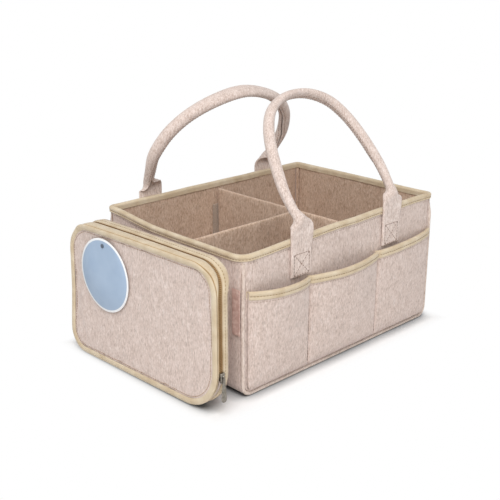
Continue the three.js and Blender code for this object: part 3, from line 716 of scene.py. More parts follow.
inner_line = rim_line(-WALL_FELT - proud + STITCH[2] / 2, TAPE_STITCH_DROP)
sew("rim_stitches", [rim_line(proud, TAPE_STITCH_DROP), inner_line], tape_thread)
sew("rim_hem_stitches", [rim_line(-HEM_SUNK, RIM_HEM)], hem_thread, size=HEM_STITCH)


def reshape(objects, move):
    """Takes the points of each object, N by 3, to where move puts them."""
    for obj in objects:
        points = np.empty(len(obj.data.vertices) * 3, np.float32)
        obj.data.vertices.foreach_get("co", points)
        moved = move(points.reshape(-1, 3).astype(float))
        obj.data.vertices.foreach_set("co", moved.astype(np.float32).ravel())
        obj.data.update()


def sagged(points):
    """The pouch's weight draws the rim down: most at its own end, up to the far corner, and ever less
    along the long sides by the square of the way to the other end."""
    x, y, z = points.T
    lengthwise = ((high.x - x) / (high.x - low.x)) ** 2
    crosswise = 1 - smooth(*SAGS_ACROSS * high.y, y)
    raised = np.clip((z - SAGS_ABOVE) / (high.z - SAGS_ABOVE), 0, 1)
    return xyz(x, y, z - RIM_SAG * lengthwise * crosswise * raised)


reshape(fitted["caddy"], sagged)

# Outside pockets: one wide felt panel on each long side, sewn down at its ends, its bottom and two
# inner seams so that it gapes as three pockets, with the same gold tape folded over its top edge.
POCKET_FELT = 3 * MM
POCKET_GAP = (1.5 * MM, 5 * MM)
POCKET_STEPS = 240
POCKET_SEAMS = {"front": (-71 * MM, 60 * MM), "back": (-67 * MM, 67 * MM)}
POCKET_TOP = 126 * MM
POCKET_RISE = 7 * MM
POCKET_GAPES = np.array([12, 12, 6]) * MM
POCKET_SPARE = (6 * MM, 4 * MM)
POCKET_STAND = 1.5 * MM
POCKET_SOFT = 1.1 * MM
POCKET_DROP = 10 * MM
POCKET_HEM = 11.6 * MM
SEAM_DIP = 2.7 * MM
SEAM_WIDTH = 1.7 * MM
END_WIDTH = 4 * MM
FOOT_SHARE = 0.05
SEAM_SPAN = (0.04, 0.98)
SEAM_STITCH = np.array([3.9, 1.5, 0.7]) * MM
SEAM_PROUD = 0.5 * MM
# Painted shade in part: the seam thread is darker and wider than the other threads, so that its line also
# stands for the shade in each seam's crease.
seam_thread_and_shade = thread_finish("seam thread", "#6b4f40")
section = folded_tape(POCKET_FELT, POCKET_DROP)
for side, word in SIDES:
    low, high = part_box(f"{word}_pocket_panel")
    height = POCKET_TOP - low.z
    wall_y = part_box(f"{word}_panel")[(side + 1) // 2].y
    bays = np.array([low.x, *POCKET_SEAMS[word], high.x])

    def on_pocket(x, share, lift):
        """A point at a share of the height, lift outside the middle of the cloth. It gapes as a parabola
        across each bay and a sine up its height, and is drawn in at every seam and along the bottom; its
        top rises towards both ends."""
        x, share = np.broadcast_arrays(x, share)
        bay = np.clip(np.searchsorted(bays, x) - 1, 0, 2)
        across = np.clip((x - bays[bay]) / (bays[bay + 1] - bays[bay]), 0, 1)
        gape = POCKET_GAPES[bay] * 4 * across * (1 - across) * np.sin(np.pi / 2 * share)
        soft = POCKET_SOFT * waver(x, share * 0.12, 0.07, 41 + side) * np.sqrt(across * (1 - across))
        inner = hump(x[..., None], bays[1:-1], SEAM_WIDTH).sum(axis=-1)
        ends = hump(x[..., None], bays[[0, -1]], END_WIDTH).sum(axis=-1) + hump(share, 0, FOOT_SHARE)
        drawn = np.maximum(inner * SEAM_DIP, np.clip(ends, 0, 1) * POCKET_STAND)
        y = wall_y + side * (POCKET_STAND + POCKET_FELT / 2 + gape + soft - drawn + lift)
        top = POCKET_TOP + POCKET_RISE * np.interp(x, bays, [1, 0, 0, 1])
        return xyz(x, y, low.z + share * (top - TAPE - low.z))

    def pocket(x, rise, lift):
        """The same with its lower corners cut round."""
        points = on_pocket(x, rise / height, lift)
        points[..., 0] = rounded_foot(x, points[..., 2], high.x)
        return points

    cut_sheet(
        f"{word}_pockets", f"{word}_pocket_panel", (low.x, high.x), (0, height), POCKET_FELT, pocket,
        POCKET_GAP, (felt, "caddy", "felt"), spare=POCKET_SPARE,
    )
    x = np.linspace(low.x, high.x, POCKET_STEPS)
    edge = on_pocket(x, 1.0, POCKET_FELT / 2) + [0, 0, TAPE]
    rings = edge[:, None] + xyz(0, side * section[:, 0], section[:, 1])
    tape = sweep(f"{word}_pocket_tape", rings)
    fit(tape, gold_tape, "caddy", "binding_tape", f"{word}_pocket_binding")

    facing = np.tile([0.0, side, 0.0], (x.size, 1))
    on_tape = edge + [0, side * proud, -TAPE_STITCH_DROP]
    sew(f"{word}_pocket_stitches", [(on_tape, facing)], tape_thread)
    on_hem = on_pocket(x, 1 - POCKET_HEM / height, POCKET_FELT / 2)
    sew(f"{word}_hem_stitches", [(on_hem, facing)], hem_thread, size=HEM_STITCH)
    share = np.linspace(*SEAM_SPAN, POCKET_STEPS // 4)
    lift = POCKET_FELT / 2 + SEAM_PROUD
    rows = [(on_pocket(seam, share, lift), facing[:share.size]) for seam in bays[1:-1]]
    sew(f"{word}_pocket_seams", rows, seam_thread_and_shade, size=SEAM_STITCH)

# Side label: a folded rose satin ribbon, woven with fine level ribs, sewn flat into the seam by the
# near corner and left plain.
RIBBON_PROUD = 0.7 * MM
RIBBON_CURL = 0.3 * MM
RIBBON_RIB = 0.9 * MM
RIBBON_WAVE = 9
RIBBON_GAP = (1.5 * MM, 2 * MM)
ROSE_STOPS = ((0.25, "#b58c80"), (0.5, "#cfaca0"), (0.75, "#ecd6cc"))


def satin_paint(start, place):
    """Satin ribbon: fine level ribs as a sine in height, over slow changes of tone."""
    height = start.node("SeparateXYZ", {}, {"Vector": place}, "Z")
    ribs = start.math("SINE", height * (2 * math.pi / RIBBON_RIB)) * 0.5 + 0.5
    tone = ribs * 0.2 + noise(start, place, 5 * MM) * 0.8
    return {"Base Color": ramp(start, ROSE_STOPS, tone), "Normal": bump(start, 0.4, 0.2 * MM, ribs)}


def ribbon(y, z, lift):
    """Flat on the seam, proud of the felt, with a slow curl that is greatest along its middle."""
    across, up = (y - low.y) / (high.y - low.y), (z - low.z) / (high.z - low.z)
    curl = np.sin(np.pi * across) * np.cos(RIBBON_WAVE * up)
    return xyz((low.x + high.x) / 2 - lift - RIBBON_PROUD - RIBBON_CURL * curl, y, z)


glossy = {"Roughness": 0.45, "Specular IOR Level": 0.5, "Sheen Weight": 0.2}
satin = finish_of("rose satin", glossy, satin_paint)
low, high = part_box("side_label")
across, up, look = (low.y, high.y), (low.z, high.z), (satin, "caddy", "label")
cut_sheet("side_ribbon", "side_label", across, up, high.x - low.x, ribbon, RIBBON_GAP, look)

# Handles: one strip of thick felt each. Its ends lie flat on the wall as tabs, sewn with a crossed
# box; above the rim its edges roll inwards until they meet, so that the grip is a soft round tube.
HANDLE_FELT = 3.3 * MM
HANDLE_STEP = 2 * MM
ARCH_STEPS, SEAM_STEPS, BOX_STEPS = 16, 220, 12
HANDLE_GAP = (3 * MM, 1.4 * MM)
TAB_WIDTH = 38 * MM
TAB_FOOT = 34 * MM
TAB_WIDENS = (-36 * MM, -6 * MM)
TAB_HEIGHT = 60 * MM
TAB_PRESS = 1.2 * MM
TAB_PRESSED = (12 * MM, 26 * MM)
LEAVES_WALL = (-3 * MM, 24 * MM)
ROLLS_UP = (-1 * MM, 22 * MM)
ROLL_SHUT = 0.975 * math.pi
NECK, LEG = 0.72, 0.92
NECK_SPAN = (22 * MM, 75 * MM)
SEAM_TURN = math.radians(65)
SEAM_TURNS = (22 * MM, 85 * MM)
SEAM_PLACE = 0.84
CROWN_FLAT = 0.24
CROWN_SPAN = np.array([0.24, 0.48])
FOLD_HALF = 7 * MM
BOX_FOOT, BOX_SIZE = 2 * MM, (26.5 * MM, 14.5 * MM)
TAB_STITCH = np.array([3.6, 0.85, 0.6]) * MM
HANDLE_TONES = ("#ab978d", "#cab6ab", "#d8c6bc", "#e4d3ca", "#f4e8e2")
FRONT_HANDLE = {"girth": 15, "lean": 36, "arch": [
    (86, 0), (90, 24), (91, 48), (88, 70), (82, 98), (71, 127), (54, 150), (28, 164), (0, 168),
]}
BACK_HANDLE = {"girth": 18, "lean": 29, "arch": [
    (108, 0), (113, 12), (117, 34), (120, 58), (114, 82), (104, 100), (83, 120), (46, 138), (0, 147),
]}


def spline(knots, count):
    """A row of points on a cubic through the knots, whose slope at each knot weighs the spans on
    both sides by the square roots of their lengths."""
    reach = np.vstack([2 * knots[0] - knots[1], knots, 2 * knots[-1] - knots[-2]])
    span = np.sqrt(np.linalg.norm(np.diff(reach, axis=0), axis=1))[:, None]
    slope = np.diff(reach, axis=0) / span
    tangent = slope[:-1] + slope[1:] - (reach[2:] - reach[:-2]) / (span[:-1] + span[1:])
    t = np.linspace(0, 1, count, endpoint=False)[None, :, None]
    start, end = knots[:-1, None], knots[1:, None]
    pull, push = (tangent[:-1] * span[1:-1])[:, None], (tangent[1:] * span[1:-1])[:, None]
    curve = ((2 * t ** 3 - 3 * t ** 2 + 1) * start + (t ** 3 - 2 * t ** 2 + t) * pull
             + (3 * t ** 2 - 2 * t ** 3) * end + (t ** 3 - t ** 2) * push)
    return np.vstack([curve.reshape(-1, 2), knots[-1:]])


def bending(obj, finish, slot, *bodies_and_ends):
    """Gives a piece its finish and bakes its place into its mesh; slot and bodies_and_ends are not used."""
    obj.data.materials.append(finish)
    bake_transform(obj)


handle_felt = felt_finish("handle felt", HANDLE_TONES)
tab_thread = thread_finish("tab thread", "#8c7164")
joints = {joint["name"]: joint for joint in frame["joints"]}
box_cross = np.array([(0, -1), (0, 1), (1, 1), (1, -1), (0, -1), (1, 1), (0, 1), (1, -1)])
for (side, word), handle in zip(SIDES, (FRONT_HANDLE, BACK_HANDLE)):
    fold_y, fold_z = (abs(value) for value in joints[f"{word}_handle_swing"]["pos_m"][1:])
    tab_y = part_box(f"{word}_panel")[(side + 1) // 2].y * side + POCKET_STAND + HANDLE_FELT / 2
    slope = math.radians(handle["lean"])
    roll_radius = (handle["girth"] * MM - HANDLE_FELT) / 2
    half_arch = np.array(handle["arch"]) * MM
    curve = spline(np.vstack([half_arch * [-1, 1], half_arch[-2::-1]]), ARCH_STEPS)
    run = run_of(curve)
    length = run[-1]
    places = np.arange(-TAB_HEIGHT, length + TAB_HEIGHT, HANDLE_STEP)
    near = np.minimum(places, length - places)
    mirror = np.where(places < length / 2, 1, -1)
    below = np.minimum(near, 0)[:, None] * (curve[1] - curve[0]) / run[1]
    aside_x, up = (follow(places, run, curve) + below * xyz(mirror, 1)).T
    share = smooth(*LEAVES_WALL, near)
    press = TAB_PRESS * smooth(*TAB_PRESSED, -near)
    centre = xyz(
        (1 - share) * -mirror * half_arch[0, 0] + share * aside_x,
        side * ((1 - share) * (tab_y - press) + share * (fold_y - up * math.sin(slope))),
        fold_z + (1 - share) * near + share * up * math.cos(slope),
    )
    ahead = np.gradient(centre, axis=0)
    aside = unit(np.cross(xyz(0, side * np.cos(share * slope), np.sin(share * slope)), ahead))
    normal = unit(np.cross(ahead, aside))
    rolling = smooth(*ROLLS_UP, near)
    tab_width = TAB_FOOT + (TAB_WIDTH - TAB_FOOT) * smooth(*TAB_WIDENS, near)
    slim = NECK + (LEG - NECK) * smooth(*NECK_SPAN, near)
    frames = np.column_stack([
        centre, normal, aside,
        1e-3 + ROLL_SHUT * rolling,
        tab_width + (2 * ROLL_SHUT * roll_radius * slim - tab_width) * rolling,
        -side * SEAM_TURN * smooth(*SEAM_TURNS, near),
        CROWN_FLAT * smooth(*CROWN_SPAN * length, near),
    ])

    def rolled(run_at, v, lift):
        """A point of the strip: across it lies an arc of half angle roll, flat on the tabs and nearly
        a whole circle on the grip, whose mean depth stays on the handle's middle line. On the grip its
        seam turns towards the inside of the arch, and the crown is pressed a little flat."""
        at = np.array([np.interp(run_at, places, column) for column in frames.T])
        roll, width, twist, flat = at[9:]
        radius = width / (2 * roll)
        turn = v / (TAB_WIDTH / 2) * roll
        sideways = (radius + lift) * np.sin(turn)
        depth = (radius + lift) * np.cos(turn) - radius * np.sin(roll) / roll
        aside_by = (sideways * np.cos(twist) + depth * np.sin(twist)) * (1 - flat)
        out_by = (depth * np.cos(twist) - sideways * np.sin(twist)) * (1 + flat)
        return xyz(*(at[:3] + at[3:6] * out_by + at[6:9] * aside_by))

    def sewn_row(run_at, v):
        """A path on the strip's outer face, and the way that face looks."""
        on_face = rolled(run_at, v, HANDLE_FELT / 2)
        return on_face, rolled(run_at, v, HANDLE_FELT) - on_face

    across = (-TAB_WIDTH / 2, TAB_WIDTH / 2)
    grip = panel(f"{word}_handle_roll", places[[0, -1]], across, HANDLE_FELT, rolled, HANDLE_GAP)
    tabs = (f"{word}_left_handle_tab", f"{word}_right_handle_tab")
    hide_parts(f"{word}_handle_sleeve", f"{word}_handle_core", *tabs)
    ends = ((0, side * fold_y, fold_z + reach) for reach in (-FOLD_HALF, FOLD_HALF))
    swing = ("caddy", f"{word}_handle", *ends)
    bending(grip, handle_felt, "handle_felt", *swing)

    seam_run = np.linspace(ROLLS_UP[1], length - ROLLS_UP[1], SEAM_STEPS)
    rows = [sewn_row(seam_run, edge * SEAM_PLACE * TAB_WIDTH / 2) for edge in (-1, 1)]
    stitches = beads(f"{word}_handle_stitches", rows, STITCH_PITCH, STITCH)
    bending(stitches, brown_thread, "binding_tape", *swing)
    corners = box_cross * BOX_SIZE + [BOX_FOOT - TAB_HEIGHT, 0]
    lines = [np.linspace(a, b, BOX_STEPS).T for a, b in zip(corners[:-1], corners[1:])]
    rows = [sewn_row(at, v) for at, v in lines] + [sewn_row(length - at, v) for at, v in lines]
    sew(f"{word}_tab_stitches", rows, tab_thread, size=TAB_STITCH)

# Dividers: two felt panels that stand on the base lining, one across the box and one along its
# pouch half, with hook strips on their ends that grip the walls' felt.
DIVIDER_BOW = 0.9 * MM
STRIP_GAP = (2.5 * MM, 4 * MM)


def strip_finish(name, dark, light):
    """Hook or loop strip: a fuzz of tiny nylon loops, from cells under a millimetre wide."""
    def paint(start, place):
        loops = start.node("TexVoronoi", {}, {"Vector": place, "Scale": 1 / (0.8 * MM)}, "Distance")
        tone = loops * 0.5 + noise(start, place, 0.5 * MM, 3, 0.7) * 0.6
        return {
            "Base Color": ramp(start, ((0.3, dark), (0.75, light)), tone),
            "Normal": bump(start, 0.7, 0.5 * MM, tone),
        }
    return finish_of(name, {"Roughness": 0.8, "Specular IOR Level": 0.3, "Sheen Weight": 0.4}, paint)


def standing(name, node, flat_axis, look, gap=STRIP_GAP, bow=0.0, seed=1):
    """A sheet in a node's box, thin along x or y: level across, upright, with a slight bow."""
    low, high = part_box(node)
    wide_axis = 1 - flat_axis
    limits = low[wide_axis], high[wide_axis]

    def place(wide, z, lift):
        ease = np.clip((limits[1] - limits[0]) / 2 - abs(wide - sum(limits) / 2), 0, BOW_EASE) / BOW_EASE
        flat = (low[flat_axis] + high[flat_axis]) / 2 + lift + bow * ease * waver(wide, z, 0.12, seed)
        return xyz(*(wide, flat)[::2 * flat_axis - 1], z)

    cut_sheet(name, node, limits, (low.z, high.z), high[flat_axis] - low[flat_axis], place, gap, look)


hooks = strip_finish("hook strip", "#8d7c6e", "#c3b2a3")
loops = strip_finish("loop strip", "#9c8a7b", "#d2c2b3")
for axis, divider in enumerate(("cross_divider", "long_divider")):
    # The dividers take the lining felt, darkened as painted shade inside the box.
    look = (lining_felt, divider, "lining_felt")
    standing(divider, f"{divider}_panel", axis, look, FELT_GAP, DIVIDER_BOW, 51 + axis)
for axis, word, ends in ((1, "cross", ("front", "back")), (0, "long", ("end", "cross"))):
    look = (hooks, f"{word}_divider", "hook_and_loop")
    for end in ends:
        standing(f"{word}_{end}_hooks", f"{word}_divider_{end}_strip", axis, look)

# Pouch fastening: two level strips of loops sewn on the end wall, and hooks facing them on the
# pouch's back, which hold the pouch and peel apart.
for level in ("upper", "lower"):
    standing(f"{level}_loops", f"{level}_loop_strip", 0, (loops, "caddy", "hook_and_loop"))
    standing(f"{level}_hooks", f"{level}_hook_strip", 0, (hooks, "pouch", "hook_and_loop"))

# Pouch back: a padded felt shell that crowns from its bound edge to the flat which meets the end
# wall, puckered a little where it is gathered into the binding.
POUCH_ROUNDS = np.array([44, 36, 54, 30]) * MM
BACK_INSET = 50 * MM
BACK_FELT = 3.5 * MM
BACK_CURVE = 0.9
BACK_BENDS, BACK_STEPS, BACK_RINGS = 12, 40, 15
PUCKER_LENGTH = 17 * MM
PUCKER_FADE = 2.4
INNER_PUCKER, OUTER_PUCKER = 0.5 * MM, 0.7 * MM
pouch_low, pouch_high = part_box("pouch_front_binding")
pouch_y, pouch_z = (pouch_low.y + pouch_high.y) / 2, (pouch_low.z + pouch_high.z) / 2
pouch_width, pouch_height = pouch_high.y - pouch_low.y, pouch_high.z - pouch_low.z


def pouch_ring(inset, x):
    """Points round the pouch at a depth x: its outline drawn in by an inset that tightens corners."""
    size = pouch_width - 2 * inset, pouch_height - 2 * inset
    around, _ = rounded_loop(*size, POUCH_ROUNDS - inset / 3, BACK_BENDS, BACK_STEPS)
    return xyz(x, pouch_y + around[:, 0], pouch_z + around[:, 1])


def crowned(edge, depth, pucker):
    """Rings from the bound edge to the flat: the rise follows one less the remaining share to a power,
    and puckers run round the edge and fade within two fifths of the slope."""
    run = run_of(pouch_ring(0, 0))
    gather = pucker * np.sin(2 * np.pi * run / PUCKER_LENGTH + 3 * waver(run, run, 0.09, 61))
    rings = []
    for share in np.linspace(0, 1, BACK_RINGS):
        rise = depth * (1 - (1 - share) ** BACK_CURVE)
        fade = np.sin(np.pi * min(1, share * PUCKER_FADE)) * (1 - share)
        rings.append(pouch_ring(edge + (BACK_INSET - edge) * share, low.x + rise + gather * fade))
    return np.array(rings)


low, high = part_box("pouch_back_panel")
inner = crowned(SEAM_SLACK + BACK_FELT, high.x - low.x - BACK_FELT, INNER_PUCKER)
outer = crowned(SEAM_SLACK, high.x - low.x, OUTER_PUCKER)
shell = sweep("pouch_back", np.concatenate([inner[::-1], outer]))
fit(shell, felt, "pouch", "felt", "pouch_back_panel")

# Pouch bindings and zip: gold tape bound round both edges of the pouch, and between them a brown
# zip with coiled teeth, which ends above the lower corners, where a felt spine joins the halves.
# The bindings' sections are millimetres of depth from one edge of the tape, and inward.
FLAP_SECTION = [
    (0, 1.5), (0, 1.0), (-0.12, 0.5), (-0.3, 0.12), (-0.5, 0.05), (-0.7, 0.3), (-0.82, 0.8),
    (-0.88, 2.6), (-1.5, 2.6), (-1.6, 0.9), (-1.9, 0.3),
]
FACE_SECTION = [
    (1.8, 0), (0.9, 0.5), (0.3, 1.5), (0, 3.2), (0.1, 5.0), (0.5, 6.7), (1.1, 7.8), (1.5, 8.0),
    (1.6, 4.2), (1.9, 3.0),
]
UNDER_SECTION = [(-1.15, 3.0), (-0.85, 3.0), (-0.7, 1.8)]
FLAP_FOLD = (6, 9)
BACK_OVER = [(0, 3), (0, 1.1), (-0.8, 0.25), (-2.2, 0)]
BACK_UNDER = [(2.0, 0), (0.7, 0.3), (0, 1.2), (0, 3)]
BACK_DIP = 0.1 * MM
BACK_STITCH_IN = 2.2 * MM
BACK_STITCH_PROUD = 0.05 * MM
ZIP_INSET, ZIP_BEND = 1.6 * MM, 0.4 * MM
ZIP_RIB = 0.8 * MM
ZIP_STOPS = ((0.2, "#99774c"), (0.5, "#bd9a6b"), (0.8, "#d6b888"))
SPINE_INSET, SPINE_BEND = 1.9 * MM, 0.5 * MM
SELVEDGES = np.array([1.2, 0.3, 0, 0, 0.3, 1.2]) * MM
TOOTH = np.array([1.3, 3.0, 0.9]) * MM
TOOTH_PITCH = 2.1 * MM
TOOTH_IN = 0.9 * MM
TOOTH_PROUD = 0.25 * MM
OUTLINE_BENDS, OUTLINE_STEPS = 14, 60
outline, outline_out = rounded_loop(pouch_width, pouch_height, POUCH_ROUNDS, OUTLINE_BENDS, OUTLINE_STEPS)


def from_edge(x, section):
    """A section in metres, with its depths counted from x."""
    return np.array(section) * MM + [x, 0]


def on_pouch(section, picked=slice(None)):
    """Rings of a section (x, inward from the outline) carried round the pouch's outline."""
    flat = outline[picked, None] - outline_out[picked, None] * section[:, 1:]
    return xyz(section[:, 0], pouch_y + flat[..., 0], pouch_z + flat[..., 1])


def pouch_line(x, inward, facing, picked=None):
    """A path round the pouch at one depth and inset, and the way that it faces, as shares of x and of
    outwards. It is closed unless some of the outline is picked."""
    part = slice(None) if picked is None else picked
    path = on_pouch(np.array([[x, inward]]), part)[:, 0]
    ways = np.column_stack([np.full(len(path), facing[0]), outline_out[part] * facing[1]])
    return (path, ways) if picked is not None else (shut(path), shut(ways))


def edge_strip(node, inset, bend):
    """(x, inward) of a strip as wide as a node, inset from the outline, with its selvedges bent in."""
    low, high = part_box(node)
    across = (high.x, high.x, high.x - bend, low.x + bend, low.x, low.x)
    return xyz(across, inset + SELVEDGES)


zip_brown = tape_finish("brown zip tape", ZIP_STOPS, ZIP_RIB)
coil_brown = thread_finish("zip coil", "#84633c")
front_low, front_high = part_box("pouch_front_binding")
back_low, back_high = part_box("pouch_back_binding")
lip = np.concatenate([
    from_edge(front_high.x, FLAP_SECTION), from_edge(front_low.x, FACE_SECTION),
    from_edge(front_high.x, UNDER_SECTION),
])
front_tape = sweep("pouch_front_tape", on_pouch(lip), loop=True)
fit(front_tape, gold_tape, "pouch_front", "binding_tape", "pouch_front_binding")
column = np.arange(len(front_tape.data.polygons)) % len(lip)
face_with(front_tape, zip_brown, (column >= FLAP_FOLD[0]) & (column < FLAP_FOLD[1]))
roll = np.concatenate([
    from_edge(back_high.x, BACK_OVER), [[(back_low.x + back_high.x) / 2, BACK_DIP]],
    from_edge(back_low.x, BACK_UNDER),
])
back_tape = sweep("pouch_back_tape", on_pouch(roll), loop=True)
fit(back_tape, gold_tape, "pouch", "binding_tape", "pouch_back_binding")
back_line = pouch_line(back_low.x + BACK_STITCH_IN, -BACK_STITCH_PROUD, (0, 1))
sew("pouch_back_stitches", [back_line], tape_thread, "pouch")

zip_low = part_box("pouch_back_zip_tape")[0].z
points_z = pouch_z + outline[:, 1]
lowest = np.where(outline[:, 1] > 0, np.inf, abs(outline[:, 0])).argmin()
from_foot, from_top = (np.roll(np.arange(len(outline)), -start) for start in (lowest, len(outline) // 2))
above, below = from_foot[points_z[from_foot] > zip_low], from_top[points_z[from_top] <= zip_low]
for node, body in (("pouch_back_zip_tape", "pouch"), ("pouch_front_zip_tape", "pouch_front")):
    low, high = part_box(node)
    cloth = sweep(node.replace("tape", "cloth"), on_pouch(edge_strip(node, ZIP_INSET, ZIP_BEND), above))
    fit(cloth, zip_brown, body, "zip_tape", node)
    tooth_x = low.x + TOOTH_IN if body == "pouch" else high.x - TOOTH_IN
    row = pouch_line(tooth_x, ZIP_INSET - TOOTH_PROUD, (0, 1), above)
    sew(node.replace("tape", "teeth"), [row], coil_brown, body, TOOTH, TOOTH_PITCH, "zip_tape")
gusset = sweep("pouch_gusset", on_pouch(edge_strip("pouch_spine", SPINE_INSET, SPINE_BEND), below))
fit(gusset, felt, "pouch", "felt", "pouch_spine")

# Pouch hinge: a strip of felt along the straight bottom edge, sewn to the spine and to the front's
# binding, which folds when the front is let down.
HINGE_FELT = 1.2 * MM
HINGE_LAP = 1 * MM
HINGE_CLEAR = 4 * MM
HINGE_UP = 2.8 * MM
HINGE_GAP = (6 * MM, 1 * MM)
hinge_half = pouch_width / 2 - POUCH_ROUNDS.max() - HINGE_CLEAR
hinge_z = pouch_low.z + HINGE_UP
spine_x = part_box("pouch_spine")[0].x


def hinge_place(y, x, lift):
    """Level, with its outer face down."""
    return xyz(x, y, hinge_z - lift)


across, along = (pouch_y - hinge_half, pouch_y + hinge_half), (front_high.x - HINGE_LAP, spine_x + HINGE_LAP)
hinge = panel("pouch_hinge", across, along, HINGE_FELT, hinge_place, HINGE_GAP)
ends = ((x, pouch_y, hinge_z) for x in (spine_x, front_high.x))
bending(hinge, felt, "felt", "pouch", "pouch_front", *ends)

# Pouch front: one felt panel, softly padded, pinned down all round under the binding. It is swelled
# as cloth between its sewn edges, so that it crowns a little and puckers along the seam.
LID_INSET = 3.3 * MM
LID_SWELL = 1.5 * MM
LID_DIP = 0.4 * MM
LID_UNDER_TAPE = 0.05 * MM
LID_ACROSS, LID_UP = (0.012, 0.036), (1.6 * MM, 5 * MM)
LID_SEWN = 4.5 * MM
LID_STITCH_INSET = 10.3 * MM
LID_STITCH_EASE = 3 * MM
LID_STITCH_PROUD = 0.15 * MM
LID_STITCH = np.array([3.0, 0.9, 0.5]) * MM
LID_STITCH_PITCH = 3.4 * MM
CLOTH_FRAMES = 24
CLOTH = {
    "vertex_group_mass": "sewn", "quality": 6, "mass": 0.3, "tension_stiffness": 20,
    "compression_stiffness": 20, "shear_stiffness": 10, "bending_stiffness": 1.5, "shrink_min": -0.012,
    "use_pressure": True, "uniform_pressure_force": -0.9,
}


def swelled(grid, sewn):
    """Where Blender's cloth takes a grid that is pinned where it is sewn, slightly too large for its
    edges, and pressed from behind without weight."""
    index = np.arange(grid[..., 0].size).reshape(grid.shape[:2])
    mesh = bpy.data.meshes.new("swelling")
    mesh.from_pydata(grid.reshape(-1, 3).tolist(), [], cells(index).tolist())
    obj = put("swelling", mesh)
    obj.vertex_groups.new(name="sewn").add(np.flatnonzero(sewn).tolist(), 1.0, "REPLACE")
    modifier = obj.modifiers.new("cloth", "CLOTH")
    for name, value in CLOTH.items():
        setattr(modifier.settings, name, value)
    modifier.settings.effector_weights.gravity = 0
    modifier.point_cache.frame_end = CLOTH_FRAMES
    for number in range(1, CLOTH_FRAMES + 1):
        scene.frame_set(number)
    result = obj.evaluated_get(bpy.context.evaluated_depsgraph_get()).data
    moved = np.empty(len(result.vertices) * 3, np.float32)
    result.vertices.foreach_get("co", moved)
    bpy.data.objects.remove(obj)
    scene.frame_set(1)
    return moved.reshape(grid.shape).astype(float)


low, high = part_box("pouch_front_panel")
lid_half = (high.y - low.y) / 2


def lid_outline(share, z):
    """y at a share across the lid: its half width shrinks by each corner's round near top and foot."""
    far_upper, near_upper, near_lower, far_lower = POUCH_ROUNDS - LID_INSET
    upper, lower = np.where(share > 0, far_upper, near_upper), np.where(share > 0, far_lower, near_lower)
    in_top = np.clip(z - (high.z - upper), 0, upper)
    in_foot = np.clip(low.z + lower - z, 0, lower)
    shrink = upper - np.sqrt(upper ** 2 - in_top ** 2) + lower - np.sqrt(lower ** 2 - in_foot ** 2)
    return (low.y + high.y) / 2 + share * (lid_half - shrink)


u, v = np.meshgrid(steps(-1, 1, *LID_ACROSS)[0], steps(low.z, high.z, *LID_UP)[0], indexing="ij")
flat_face = xyz(low.x + LID_SWELL, lid_outline(u, v), v)
edge_gap = np.minimum(lid_half * (1 - abs(u)), np.minimum(v - low.z, high.z - v))
swell = (flat_face - swelled(flat_face, edge_gap < LID_SEWN))[..., 0]
swell = np.clip(swell, -LID_DIP, LID_SWELL - LID_UNDER_TAPE)
front_face = flat_face - swell[..., None] * [1, 0, 0]
lid = slab("pouch_front", front_face, xyz(high.x, flat_face[..., 1], flat_face[..., 2]))
fit(lid, felt, "pouch_front", "felt", "pouch_front_panel")
seam_path, seam_out = pouch_line(low.x, LID_STITCH_INSET, (-1, 0))
cloth = front_face.reshape(-1, 3)
apart = np.linalg.norm(seam_path[:, None, 1:] - cloth[:, 1:], axis=2)
nearness = hump(apart, 0, LID_STITCH_EASE)
seam_path[:, 0] = nearness @ cloth[:, 0] / nearness.sum(axis=1) - LID_STITCH_PROUD
lid_thread = thread_finish("lid thread", "#a67e59")
sew("pouch_front_stitches", [(seam_path, seam_out)], lid_thread, "pouch_front", LID_STITCH, LID_STITCH_PITCH)

# Zip slider and pull: die-cast, antique nickel. The slider rides the teeth, and the pull hangs from
# a bail on it. The slider's sections are shares of its height, half width and half depth.
SLIDER_LEVELS = np.array([0, 0.03, 0.12, 0.3, 0.55, 0.8, 0.94, 0.985, 1.0])
SLIDER_WIDTHS = np.array([0.35, 0.5, 0.68, 0.86, 0.84, 0.96, 1.0, 0.94, 0.8])
SLIDER_DEPTHS = np.array([0.5, 0.75, 0.95, 1.0, 0.9, 1.0, 0.97, 0.85, 0.6])
SLIDER_SIDES = 24
BAIL_SUNK = 0.4 * MM
BAIL_STAND = 2.1 * MM
BAIL_HALF = 3.4 * MM
BAIL_WIRE = 0.55 * MM
BAIL_BROAD = 1.6
PULL_SPREAD = 1.25
PULL_ROUND = 0.13
PULL_GAP, PULL_EDGE = (0.15, 1 * MM), (0.15, 0.5 * MM)


def metal_paint(start, place):
    """Tumbled nickel: darker and rougher in blotches where its plating has worn."""
    worn = noise(start, place, 2.2 * MM, 3, 0.6)
    return {
        "Base Color": ramp(start, ((0.3, "#6d675f"), (0.7, "#aaa398")), worn),
        "Roughness": worn * 0.25 + 0.25,
    }


nickel = finish_of("antique nickel", {"Metallic": 1.0}, metal_paint)
low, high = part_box("zip_slider")
middle, half = (low + high) / 2, (high - low) / 2
turn = np.linspace(0, 2 * np.pi, SLIDER_SIDES, endpoint=False)
square_x, square_y = (np.sign(wave) * abs(wave) ** 0.5 for wave in (np.cos(turn), np.sin(turn)))
rings = xyz(
    middle.x + half.x * SLIDER_WIDTHS[:, None] * square_x,
    middle.y + half.y * SLIDER_DEPTHS[:, None] * square_y,
    (low.z + SLIDER_LEVELS * (high.z - low.z))[:, None],
)
fit(sweep("zip_slider_body", rings), nickel, "zip_slider", "zip_metal", "zip_slider")
arc = np.linspace(-0.1, np.pi + 0.1, 15)
bail = xyz(middle.x, low.y + BAIL_SUNK - BAIL_STAND * np.sin(arc), middle.z + BAIL_HALF * np.cos(arc))
bail_out = xyz(0, -np.sin(arc), np.cos(arc))[:, None]
